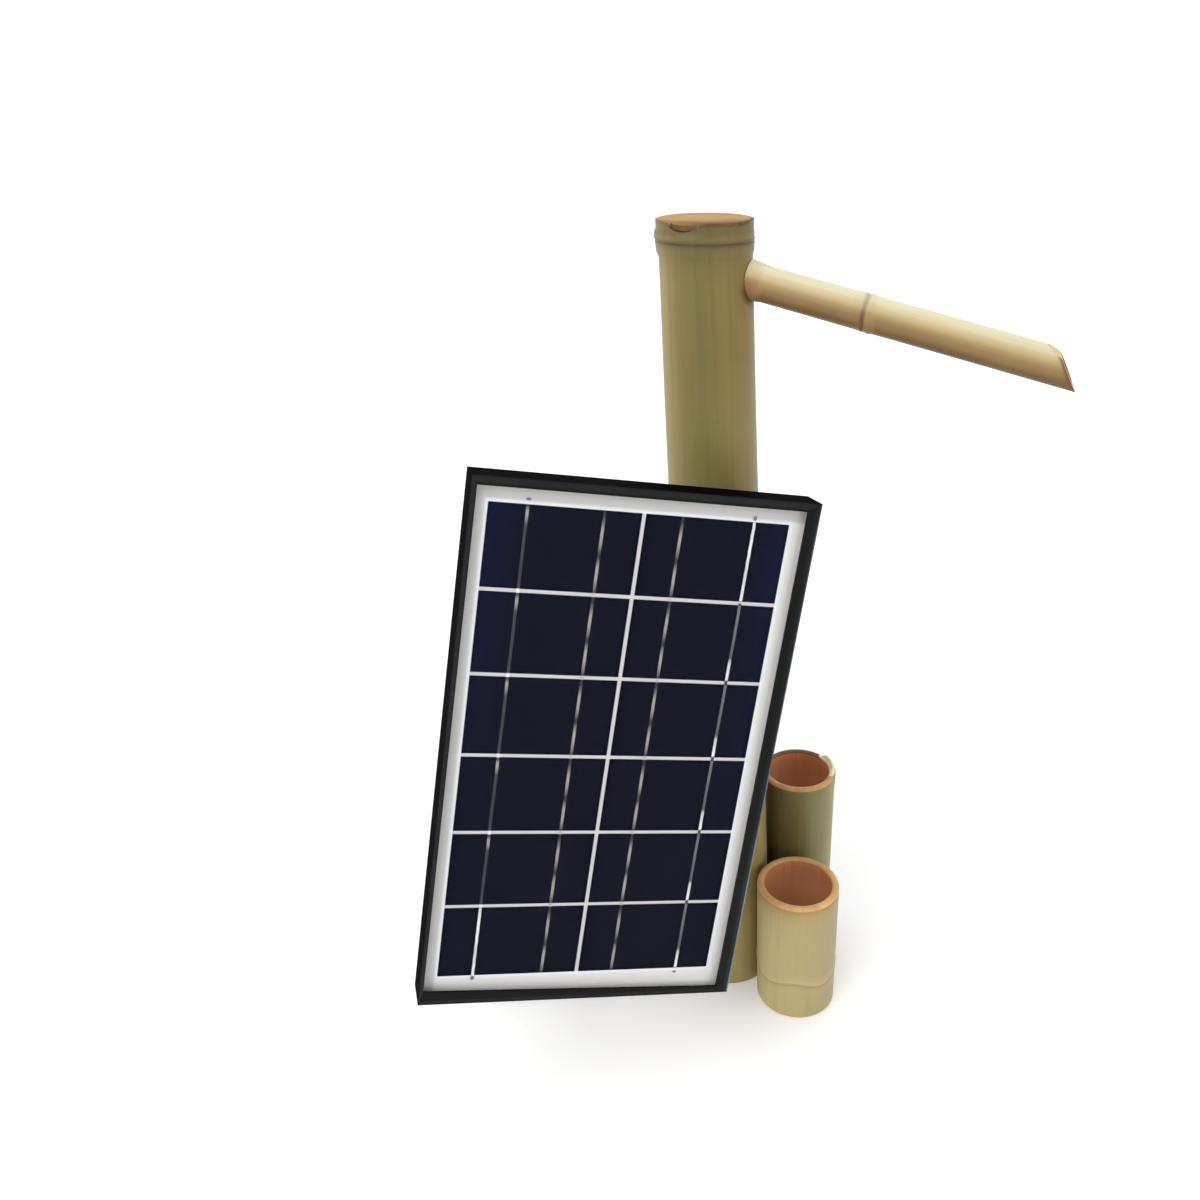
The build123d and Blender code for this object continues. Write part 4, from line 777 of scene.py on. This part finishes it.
def buildCups():
    cutTones = {"rear_cup": ("#BC8C58", "#C99A66", "#D4A976"), "front_cup": ("#CB9C62", "#D6A86E", "#E0B680")}
    for name, cup in cups.items():
        matrix = Matrix.Translation(cup["centre"] * mm)
        foot, height, wall = cup["radius"] * cup["foot"], cup["height"], cup["wall"]
        side = culmSide(foot, cup["radius"], height, (cup["node"] - cup["ringDrop"],), (cup["swell"],))
        floorTop, floorUnder = cup["node"] + cup["floor"] / 2, cup["node"] - cup["floor"] / 2
        inner = cup["radius"] - wall
        profile = [(0, floorTop - 0.6), (inner * 0.55, floorTop - 0.4), (inner * 0.88, floorTop + 0.2),
                   (inner - 0.15, floorTop + 2.0), (inner, floorTop + 6), (inner, (floorTop + height) / 2),
                   (inner, height)]
        profile += side[::-1] + [(foot - wall, 0), (foot - wall, floorUnder), (0, floorUnder)]
        bm = spunProfile(profile, cup["steps"])
        lip = wall * cup["lipShare"]
        # circles of the two edges of the mouth and of the foot: radius, level, width of the rounding
        for radius, level, width in ((cup["radius"], height, lip), (inner, height, lip * 0.7), (foot, 0, 2.4)):
            roundEdges(bm, [edge for edge in bm.edges
                            if all(abs(v.co.z - level * mm) < 0.02 * mm
                                   and abs(v.co.xy.length - radius * mm) < 0.02 * mm for v in edge.verts)],
                       width, 5)
        for vert in bm.verts:
            # a splinter of skin stands up from the rear cup's rim, which flares there
            turn = turnFrom(vert.co, cup["splinterHeading"])
            raised = exp(-(turn / radians(cup["splinterSpread"])) ** 8)
            if vert.co.xy.length > (inner + 1.2) * mm:
                flare = cup["lipFlare"] * raised * ease(height - 9, height - 5, vert.co.z / mm)
                vert.co.xy *= 1 + flare * mm / vert.co.xy.length
                if vert.co.z > (height - 0.2) * mm:
                    vert.co.z += cup["splinter"] * raised * mm
                # the front cup's ring sags on both sides of its middle
                near = exp(-((vert.co.z / mm - cup["node"]) / 9.0) ** 4)
                vert.co.z -= cup["ringSag"] * near * sin(2 * (turn - radians(cupSagHeading))) ** 2 * mm
        growUneven(bm, cupUnevenness, 0.4 * cup["radius"], inner * 0.8)
        for face in bm.faces:
            centre = face.calc_center_median()
            level = centre.z / mm
            turn = (atan2(centre.y, centre.x) - radians(cup["brownFrom"])) % tau
            beside = abs(turnFrom(centre, cup["splinterHeading"])) < radians(cup["splinterSpread"] + 6)
            inwards = face.normal.xy.dot(centre.xy) < 0
            # the splinter's faces: its pale skin, made near white as painted light against the shade it stands
            # in
            if cup["splinter"] and level > height - 0.2 and beside and (inwards or face.normal.z > 0.3):
                face.material_index = split
            elif face.normal.z > 0.12 and level > height - lip:
                # part of the rear cup's rim is brown
                face.material_index = darkRim if turn < radians(cup["brownTurn"]) else sawn
            elif centre.xy.length < (inner + 0.8) * mm and level > floorUnder:
                face.material_index = inside
            elif face.normal.z < -0.5 and level < 1:
                face.material_index = sawn
            elif centre.xy.length < (foot - wall + 0.8) * mm:
                face.material_index = inside
        bmesh.ops.transform(bm, matrix=matrix, verts=bm.verts)
        slot = "green_bamboo" if name == "rear_cup" else "tan_bamboo"
        materials = [
            culmMaterial("weathered_" + slot, matrix, skins[name]),
            cutMaterial("sawn_rim_" + name, matrix, cutTones[name], 0.08),
            # the cups' inner walls: brown partly as painted shade of the hollow, and paler deeper down as
            # painted light
            insideMaterial("inner_wall_" + name, matrix, ("#C6845A", "#CC8C60", "#D29468"),
                           (height - 6, height - 30, "#E4B488")),
            cutMaterial("pale_split_skin_painted_light", matrix, ("#EFE6C4", "#F7EFD0", "#FFF8DC"), 0.05),
            cutMaterial("darkened_rim", matrix, ("#6A4E30", "#785A38", "#846543"), 0.08),
        ]
        makePiece(name + "_culm", bm, materials, "fountain", name, sharp=42)


# The panel's own frame: X to its right, Y up its face, Z out of its face, from the middle of its front.
panel = {
    "roll": -13.0, "width": 167.0, "length": 272.0, "face": 4.4, "lip": 1.3, "edge": 0.5,
    "columns": 2, "rows": 6, "cell": (71.4, 39.4), "gap": (2.0, 1.9), "block": (-2.1, 0.8),
    "busbarFront": 3.75, "busbarWidth": 1.4, "busbarThickness": 0.2,
    "toneReach": 8.0,  # how far in from its outer edge a rail's tones run
    # how much wider than drawn each lip is, at its lower or left end and at its other end
    "lips": {"left": (-2.3, -1.7), "right": (2.7, 2.1), "bottom": (3.2, -0.7), "top": (0.0, 0.0)},
    # end of a busbar: side, height, long, high, drop towards the cells
    "smears": [(-1, 1, 2.6, 1.2, 0.0), (1, 1, 1.9, 2.2, 0.6), (-1, -1, 2.2, 2.4, 0.8), (1, -1, 2.2, 1.2, 0.0)],
}
panelNormal = -Vector(joints["panel_spin"]["axis"]).normalized()
panelRight = Matrix.Rotation(radians(panel["roll"]), 3, panelNormal) @ Vector(joints["tilt"]["axis"])
panelPlacing = placing(Vector(joints["panel_spin"]["pos_m"]), panelNormal, panelRight)
pitchX, pitchY = (size + gap for size, gap in zip(panel["cell"], panel["gap"]))


def glassMaterial():
    # tempered solar glass with an anti-reflection coating: clear, and it mirrors only a little of the room
    material, add = newMaterial("tempered_solar_glass")
    tree = material.node_tree
    spot = placedSpot(add, panelPlacing)
    # prismatic texture of solar glass, about 1.2 mm pitch, which softens what it mirrors
    bump = add("Bump", add("TexNoise", spot, 1 / (1.2 * mm), 1.0), 0.2, 0.02 * mm)
    rough = add("MapRange", add("TexNoise", spot, 1 / (60 * mm), 2.0), None, None, 0.08, 0.2)
    # only its front mirrors: light isn't bent here, so the back would mirror everything at a low angle
    front = add("Math SUBTRACT", 1.0, add("NewGeometry", out="Backfacing"))
    share = add("Math MULTIPLY", add("Fresnel", 1.1, bump), front)
    mixed = add("MixShader", share, add("BsdfTransparent", tint("#FCFCFC")), add("BsdfGlossy", rough, bump))
    tree.nodes.remove(tree.nodes["Principled BSDF"])
    fill(tree, tree.nodes["Material Output"], {"Surface": mixed})
    return material


def blockSpot(add):
    # where a point lies in the block of cells: X and Y from its middle, in metres
    block = tuple(-value * mm for value in (*panel["block"], 0))
    return add("SeparateXYZ", add("VectorMath ADD", placedSpot(add, panelPlacing), block), out="all")[:2]


def cellMaterial():
    # monocrystalline silicon under its blue coating: near black, bluer at the edges, with fine silver fingers
    material, add = newMaterial("monocrystalline_silicon", Roughness=0.45, IOR=1.12)
    x, y = blockSpot(add)
    edges = []
    for value, size, pitch in zip((x, y), panel["cell"], (pitchX, pitchY)):
        # 0 in the middle of a cell, 1 at its edge
        share = add("Math SUBTRACT", add("Math FRACT", add("Math DIVIDE", value, pitch * mm)), 0.5)
        edges.append(add("Math MULTIPLY", add("Math ABSOLUTE", share), 2 * pitch / size))
    edge = add("Math MAXIMUM", edges[0], add("Math SUBTRACT", edges[1], 0.04))
    tone = add("ValToRGB", edge, stops=[(0.0, "#0C0C1B"), (0.8, "#0C0D1D"), (0.92, "#0A0C1C"),
                                        (0.97, "#040618"), (1.0, "#030516")])
    outer = add("Math DIVIDE", add("Math ABSOLUTE", x), (panel["cell"][0] + panel["gap"][0] / 2) * mm)
    upper = add("MapRange", y, -50 * mm, 90 * mm, 0.1)
    blue = add("Math MULTIPLY", add("MapRange", outer, 0.74, 0.96, 0.0, 0.9), upper)
    colour = add("Mix", blue, tone, tint("#0F132E"))
    # fingers every 2 mm, drawn 0.3 mm wide and faint because the real ones are too fine to show
    finger = add("Math FRACT", add("Math DIVIDE", y, 2.0 * mm))
    line = add("ValToRGB", finger, stops=[(0.0, 0.0), (0.42, 0.0), (0.5, 1.0), (0.58, 0.0)])
    colour = add("Mix", add("Math MULTIPLY", line, 0.04), colour, tint("#7C8094"))
    return dress(material, Base_Color=colour, Normal=add("Bump", line, 0.2, 0.02 * mm))


def backsheetMaterial():
    # white laminate seen through the glass: matt, whiter close round the cells, lifted by painted light towards
    # the frame and darkened by painted shade of the rails along the top and the left
    material, add = newMaterial("white_laminate_backsheet", Roughness=0.6, IOR=1.45)
    x, y = blockSpot(add)
    halfSizes = [(count * size + (count - 1) * gap) / 2 for count, size, gap
                 in zip((panel["columns"], panel["rows"]), panel["cell"], panel["gap"])]
    outside = [add("Math SUBTRACT", add("Math ABSOLUTE", value), half * mm)
               for value, half in zip((x, y), halfSizes)]
    near = add("MapRange", add("Math MAXIMUM", *outside), 0.0, 8 * mm)
    # tones out from the cells; the lift towards the frame is painted light against the shade of the rails' lips
    tone = add("ValToRGB", near, stops=[(0.0, "#DAD7D6"), (0.04, "#FBFCFF"), (0.16, "#F2F3F5"),
                                        (0.35, "#EAE9E7"), (0.75, "#EBEAE7"), (1.0, "#FCFBF8")])
    paper = add("TexNoise", placedSpot(add, panelPlacing), 1 / (0.6 * mm), 3.0)
    # painted shade of the rails' lips along the top and the left
    leftwards = add("Math MULTIPLY", x, -1.0)
    dull = [add("MapRange", value, (half + 0.6) * mm, (half + 2.2) * mm, 1.0, least)
            for value, half, least in ((leftwards, halfSizes[0], 0.76), (y, halfSizes[1], 0.7))]
    sheet = add("Mix MULTIPLY", 1.0, tone, add("Math MINIMUM", *dull))
    colour = add("Mix MULTIPLY", 1.0, sheet, add("ValToRGB", paper, stops=[(0.3, 0.93), (0.7, 1.0)]))
    return dress(material, Base_Color=colour, Normal=add("Bump", paper, 0.3, 0.03 * mm))


# each slot's finish: name, two tones, size of its patches and of its grain, roughness, depth of relief
finishLooks = {
    # stainless steel, rolled and tumbled: bright, with a soft even grain
    "screw_steel": ("stainless_steel", ("#B4B6B8", "#C8CACB"), 6, 0.4, (0.22, 0.38), 0.01,
                    {"Metallic": 1.0}),
    # zinc-plated steel: cooler and cloudier than stainless
    "bolt_steel": ("zinc_plated_steel", ("#A9ADB0", "#C3C5BE"), 4, 0.5, (0.28, 0.45), 0.012,
                   {"Metallic": 1.0}),
    # ground steel shaft: mirror-like, with rings left by the wheel
    "shaft_steel": ("ground_shaft_steel", ("#B9BBBD", "#CDCED0"), 3, (2.0, 2.0, 0.12), (0.12, 0.24), 0.004,
                    {"Metallic": 1.0}),
    # powder-coated steel: dark, half matt, with the orange peel of a baked powder, about 1.4 mm across
    "painted_steel": ("powder_coated_steel", ("#2C2E31", "#34363A"), 30, 1.4, (0.34, 0.5), 0.16,
                      {"mottle": 0.1, "IOR": 1.5}),
    # stack of stator plates half a millimetre thick: dull grey iron with fine lines across it
    "stator_iron": ("laminated_iron", ("#6A6C70", "#7B7D80"), 8, (6.0, 6.0, 0.5), (0.4, 0.6), 0.05,
                    {"mottle": 0.4, "Metallic": 1.0}),
    # sintered ferrite: charcoal ceramic with a dry, finely pitted skin
    "ferrite_magnet": ("sintered_ferrite", ("#343336", "#3F3E42"), 5, 0.35, (0.55, 0.75), 0.03,
                       {"IOR": 1.6}),
    # mill-finish aluminium: pale grey with the die's lines along the panel
    "plain_aluminium": ("mill_finish_aluminium", ("#B3B5B8", "#C6C8CA"), 14, (8.0, 0.35, 0.35), (0.3, 0.5),
                        0.015, {"matrix": panelPlacing, "Metallic": 1.0}),
    # moulded ABS: black with the fine spark-eroded texture of its mould
    "box_plastic": ("moulded_black_abs", ("#1D1E20", "#25262A"), 20, 0.5, (0.42, 0.6), 0.04,
                    {"matrix": panelPlacing, "IOR": 1.53}),
    # polyamide terminal block: milky white with a waxy gloss
    "block_plastic": ("white_polyamide", ("#D8D6CC", "#E6E4DB"), 6, 0.4, (0.34, 0.48), 0.015,
                      {"mottle": 0.05, "IOR": 1.53}),
    # pump body, moulded ABS: smooth and glossier than the box, with flow lines
    "pump_plastic": ("moulded_pump_abs", ("#222427", "#2B2D31"), 10, (0.8, 0.8, 3.0), (0.28, 0.4), 0.02,
                     {"IOR": 1.53}),
    # acetal impeller: chalky white and slippery
    "impeller_plastic": ("white_acetal", ("#CFCFCB", "#E0E0DC"), 5, 0.5, (0.3, 0.42), 0.01,
                         {"mottle": 0.05, "IOR": 1.48}),
    # polypropylene elbow: dark green grey, soft sheen
    "elbow_plastic": ("moulded_polypropylene", ("#2A2D2C", "#343837"), 8, 0.6, (0.36, 0.5), 0.02,
                      {"IOR": 1.49}),
    # glass-filled nylon knobs: black with pale flecks of fibre
    "knob_plastic": ("glass_filled_nylon", ("#1A1B1C", "#26272A"), 1.2, 0.3, (0.48, 0.66), 0.03,
                     {"mottle": 0.3, "IOR": 1.55}),
    # plain nylon washers: off-white and dull
    "washer_nylon": ("natural_nylon", ("#D2CDBB", "#DFDBCB"), 4, 0.4, (0.4, 0.55), 0.01,
                     {"mottle": 0.06, "IOR": 1.53}),
    # EPDM rubber: black, dry and slightly dusty
    "black_rubber": ("epdm_rubber", ("#1B1B1C", "#29292A"), 5, 0.6, (0.7, 0.88), 0.04,
                     {"IOR": 1.5}),
    # silicone hose: milky and soft, lets a little light in
    "hose_rubber": ("silicone_hose", ("#B9BDB8", "#CBCFC9"), 12, (1.0, 1.0, 6.0), (0.3, 0.45), 0.02,
                    {"mottle": 0.06, "matrix": postPlacing, "IOR": 1.41, "Subsurface_Weight": 0.3,
                     "Subsurface_Radius": (0.002, 0.002, 0.002), "Subsurface_Scale": 1.0}),
    # tinned copper ribbon: soft white metal, a little rumpled
    "tinned_ribbon": ("tinned_copper", ("#B8B6B8", "#D2D0D2"), 3, (0.4, 2.0, 0.4), (0.3, 0.5), 0.02,
                      {"matrix": panelPlacing, "Metallic": 0.35}),
}
finishes = {slot: surface(*look, **more) for slot, (*look, more) in finishLooks.items()}
finishes |= {"solar_glass": glassMaterial(), "cell_silicon": cellMaterial(), "pale_sheet": backsheetMaterial()}

# tones across each rail, by the distance in from its outer edge: painted light and shade, a lighter middle band
# between darker strips, and a painted highlight along the right rail's outer edge
railTones = {
    "top": [(0.0, "#0C0C0D"), (0.08, "#1E1F21"), (0.34, "#212224"), (0.42, "#0F0F10"), (1.0, "#0C0C0D")],
    "left": [(0.0, "#0E0E0F"), (0.06, "#202123"), (0.22, "#232427"), (0.3, "#121314"), (1.0, "#0E0F10")],
    "right": [(0.0, "#8C9298"), (0.06, "#7C828A"), (0.1, "#2A2F37"), (0.3, "#20252C"), (0.42, "#121416"),
              (1.0, "#0E0E0D")],
    "bottom": [(0.0, "#16181B"), (0.22, "#1C1E22"), (0.26, "#26282C"), (0.3, "#080809"), (1.0, "#070707")],
}


def anodisedMaterial(side):
    # black anodised aluminium: satin, lines of the extrusion along the rail, with painted light and shade
    # across it
    upright = side in ("left", "right")
    outward = 1 if side in ("right", "top") else -1
    grain = (0.3, 14.0, 0.3) if upright else (14.0, 0.3, 0.3)
    material = surface("black_anodised_rail_" + side, ("#D8D8D8", "#FFFFFF"), 25, grain, (0.38, 0.52), 0.012,
                       0.12, panelPlacing, IOR=1.22)
    add = partial(put, material.node_tree)
    x, y, z = add("SeparateXYZ", placedSpot(add, panelPlacing), out="all")
    edge = panel["width" if upright else "length"] / 2 * outward
    depth = add("MapRange", x if upright else y, edge * mm, (edge - panel["toneReach"] * outward) * mm)
    tone = add("ValToRGB", depth, stops=railTones[side])
    if side == "right":  # painted highlight along its outer edge low down, painted shade higher up
        tone = add("Mix MULTIPLY", 1.0, tone, add("MapRange", y, -70 * mm, 20 * mm, 1.0, 0.4))
    shader = material.node_tree.nodes["Principled BSDF"]
    lines = shader.inputs["Base Color"].links[0].from_socket
    return dress(material, Base_Color=add("Mix MULTIPLY", 1.0, tone, lines))


def ribbonMaterial(name, stops):
    # tinned ribbon under glass: bright and dull stretches in turn, the same in every cell
    material, add = newMaterial("soldered_ribbon_" + name, Metallic=0.15, Roughness=0.5, IOR=1.3)
    x, y = blockSpot(add)
    top = (panel["rows"] * pitchY - panel["gap"][1]) / 2
    # 0 at the top of a cell, 1 at the top of the next
    down = add("MapRange", y, top * mm, (top - pitchY) * mm, clamp=False)
    tone = add("ValToRGB", add("Math FRACT", down), stops=stops)
    worn = add("TexNoise", placedSpot(add, panelPlacing), 1 / (1.5 * mm), 3.0)
    colour = add("Mix MULTIPLY", 1.0, tone, add("ValToRGB", worn, stops=[(0.3, 0.8), (0.6, 1.0)]))
    return dress(material, Base_Color=colour, Normal=add("Bump", worn, 0.4, 0.05 * mm))


def shapeRails(toPanel, rightwards, upwards):
    # the four rails, with eased edges, dull side walls and lips of differing width over the glass
    wall = surface("black_anodised_side_wall", ("#030304", "#070708"), 25, (0.3, 14.0, 0.3), (0.6, 0.75), 0.012,
                   0.12, panelPlacing, IOR=1.03)

    def lip(side, share):
        start, end = panel["lips"][side]
        return start + (end - start) * (share + 0.5)

    def atLip(distance, size):
        return abs(abs(distance) - size / 2 + panel["face"]) < 0.7

    for side, outward in (("bottom", -upwards), ("top", upwards), ("left", -rightwards), ("right", rightwards)):
        rail = softened("eased_rail_" + side, "frame_rail_" + side, panel["edge"], anodisedMaterial(side))
        rail.data.materials.append(wall)
        for face in rail.data.polygons:
            if face.normal.dot(outward) > 0.9:
                face.material_index = 1
        for vert in rail.data.vertices:
            spot = toPanel @ vert.co / mm
            if spot.z > -panel["lip"] - 0.1:
                if atLip(spot.x, panel["width"]):
                    share = spot.y / panel["length"]
                    vert.co += rightwards * (-lip("right", share) if spot.x > 0 else lip("left", share)) * mm
                if atLip(spot.y, panel["length"]):
                    share = spot.x / panel["width"]
                    vert.co += upwards * (-lip("top", share) if spot.y > 0 else lip("bottom", share)) * mm


def buildPanel():
    shapeRails(panelPlacing.inverted(), panelPlacing.col[0].xyz, panelPlacing.col[1].xyz)
    # busbars: two thin ribbons down each column of cells
    inner, left, right, thick, dull = range(5)  # places in the list of ribbons
    bm = bmesh.new()

    def addStrip(x, top, bottom, material):
        made = bmesh.ops.create_grid(bm, x_segments=1, y_segments=12, size=0.5)["verts"]
        for vert in made:
            sway = 0.08 * sin(vert.co.y * 40 + x)
            vert.co = Vector((x + vert.co.x * panel["busbarWidth"] + sway,
                              (top + bottom) / 2 + vert.co.y * (top - bottom), 0))
        faces = list(dict.fromkeys(face for vert in made for face in vert.link_faces))
        for face in faces:
            face.material_index = material
        grown = bmesh.ops.extrude_face_region(bm, geom=faces)["geom"]
        bmesh.ops.translate(bm, verts=[item for item in grown if isinstance(item, bmesh.types.BMVert)],
                            vec=(0, 0, -panel["busbarThickness"]))

    def addBlob(x, y, long, high, material):
        made = bmesh.ops.create_cone(bm, cap_ends=True, cap_tris=False, segments=16, radius1=0.5, radius2=0.4,
                                     depth=0.16)
        for vert in made["verts"]:
            vert.co = Vector((x + vert.co.x * long, y + vert.co.y * high,
                              vert.co.z - 0.1 + 0.08 * (material == thick)))
            for face in vert.link_faces:
                face.material_index = material

    blockTop = panel["rows"] * pitchY / 2
    for column in range(panel["columns"]):
        for side in (-1, 1):
            x = (column - 0.5) * pitchX + side * panel["cell"][0] / 4
            if (column == 0) != (side < 0):
                addStrip(x, blockTop - 1, 1 - blockTop, inner)
            elif column == 0:
                addStrip(x, blockTop - 1, pitchY - blockTop, left)
                addStrip(x, pitchY - blockTop - 1.2, 1 - blockTop, thick)
            else:
                addStrip(x, blockTop - 1, blockTop - pitchY + 1.2, thick)
                addStrip(x, blockTop - pitchY, 1 - blockTop, right)
    outerX = pitchX / 2 + panel["cell"][0] / 4
    for side, height, long, high, drop in panel["smears"]:
        addBlob(side * outerX, height * (blockTop + 1.5 - drop), long, high, dull)
    # a bright drop of solder where the outer left busbar crosses each gap
    for row in range(1, panel["rows"]):
        addBlob(-outerX, blockTop - row * pitchY, 2.1, 2.0, thick)
    bmesh.ops.recalc_face_normals(bm, faces=bm.faces)
    inBlock = Matrix.Translation(Vector((*panel["block"], -panel["busbarFront"])) * mm)
    bmesh.ops.transform(bm, matrix=panelPlacing @ inBlock @ Matrix.Scale(mm, 4), verts=bm.verts)
    dim, middling, bright, white = "#33343A", "#6E6C68", "#A8A59C", "#F6F6F6"
    ribbons = [
        ribbonMaterial("inner", [(0.0, dim), (0.06, dim), (0.14, middling), (0.22, bright), (0.34, bright),
                                 (0.5, dim), (0.54, dim), (0.66, bright), (0.78, bright), (0.9, middling),
                                 (0.945, dim), (0.955, "#C9C5C5"), (0.998, "#C9C5C5")]),
        ribbonMaterial("left", [(0.0, dim), (0.03, "#5A5A60"), (0.07, bright), (0.12, bright),
                                (0.22, "#44444C"), (0.85, "#3E3F48"), (0.945, "#48485A"), (0.955, white),
                                (1.0, white)]),
        ribbonMaterial("right", [(0.0, "#77777C"), (0.5, "#66666C"), (0.66, "#5A5A60"), (0.72, "#D8D6D0"),
                                 (0.93, white), (0.955, "#3A3A40"), (1.0, "#3A3A40")]),
        ribbonMaterial("thick", [(0.0, "#DEDEDC"), (0.3, white), (0.6, "#D6D4D0"), (1.0, white)]),
        surface("dull_solder", ("#6E6E72", "#86868A"), 1, 0.4, (0.45, 0.6), 0.02,
                matrix=panelPlacing),
    ]
    makePiece("soldered_busbars", bm, ribbons, "solar_panel", "cell_ribbons", sharp=40)


# pieces of the stand and the panel's back that keep their shape and only have their edges eased, widths in mm
easedNodes = {
    "back_strap": 0.4, "corner_brackets": 0.25, "junction_box": 0.7, "junction_box_lid": 0.7, "foot_plate": 0.8,
    "pole_socket": 0.6, "pole": 0.5, "pan_head": 0.6, "tilt_arm": 0.5, "tilt_knob": 0.6, "pan_knob": 0.5,
    "tilt_bolt": 0.4, "spin_bolt": 0.4, "cable_gland": 0.35, "gland_nut": 0.6, "foot_pads": 0.6,
}
# screws: how far the head is domed, and the cross's reach, in mm
screwGroups = {
    "joining_screws": (0.75, 3.4), "plate_screws": (0.75, 3.2), "socket_screws": (0.7, 3.0),
    "corner_screws": (0.7, 2.8), "strap_screws": (0.7, 2.8), "lid_screws": (0.7, 2.8),
}
crossWidth = crossDepth = 0.7


def crossCutter(matrix, reach):
    # the cross that a driver bit leaves in a screw head, a little deeper than it shows
    bm = bmesh.new()
    bmesh.ops.create_cube(bm, size=crossWidth * mm)
    bmesh.ops.scale(bm, verts=bm.verts, vec=(1, 1, 2 * crossDepth / crossWidth))
    for face in [face for face in bm.faces if abs(face.normal.z) < 0.5]:
        outward = face.normal.copy()
        grown = bmesh.ops.extrude_discrete_faces(bm, faces=[face])["faces"][0]
        bmesh.ops.translate(bm, verts=grown.verts, vec=outward * (reach - crossWidth) / 2 * mm)
    bmesh.ops.transform(bm, matrix=matrix, verts=bm.verts)
    return bm


def separateParts(bm):
    # the loose parts of a mesh, each as a list of its faces
    seen, parts = set(), []
    for first in bm.faces:
        part = [] if first in seen else [first]
        seen.add(first)
        for face in part:
            for neighbour in (other for side in face.edges for other in side.link_faces):
                if neighbour not in seen:
                    seen.add(neighbour)
                    part.append(neighbour)
        if part:
            parts.append(part)
    return parts


def buildScrews(node, dome, reach):
    # screws with domed heads and a cross in each
    bm = mergedCopy(node)
    heads, edges = [], []
    for part in separateParts(bm):
        points = {vert for face in part for vert in face.verts}

        def isEnd(face):
            return all((vert.co - face.calc_center_median()).dot(face.normal) < 0.02 * mm for vert in points)

        top = max((face for face in part if isEnd(face)), key=lambda face: face.calc_area())
        heads.append((top.calc_center_median(), top.normal.copy()))
        edges += list(top.edges)
    roundEdges(bm, edges, dome, 4)
    cutters = []
    for index, (spot, outward) in enumerate(heads):
        turn = Matrix.Rotation(0.9 * index + 0.4, 4, "Z")
        sideways = (0, 0, 1) if abs(outward.z) < 0.9 else (1, 0, 0)
        cutters.append(crossCutter(placing(spot, outward, sideways) @ turn, reach))
    bm = carve(bm, cutters)
    makePiece("cross_" + node, bm, [finishes["screw_steel"]], nodes[node]["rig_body"], node,
              sharp=35)


def slotName(socket):
    return socket.material.name.split(".")[0]


def buildFittings():
    for node, width in easedNodes.items():
        slot = slotName(nodes[node].material_slots[0])
        softened("eased_" + node, node, width, finishes[slot])
    for node, sizes in screwGroups.items():
        buildScrews(node, *sizes)


def finishRest():
    # every CAD node that stays gets the finish of its own slot
    for socket in (socket for node in nodes.values() for socket in node.material_slots):
        if slotName(socket) in finishes:
            socket.material = finishes[slotName(socket)]


buildPost()
buildSpout()
buildCups()
print("bamboo built")
buildPanel()
print("panel built")
buildFittings()
finishRest()
print("stand and fittings built")
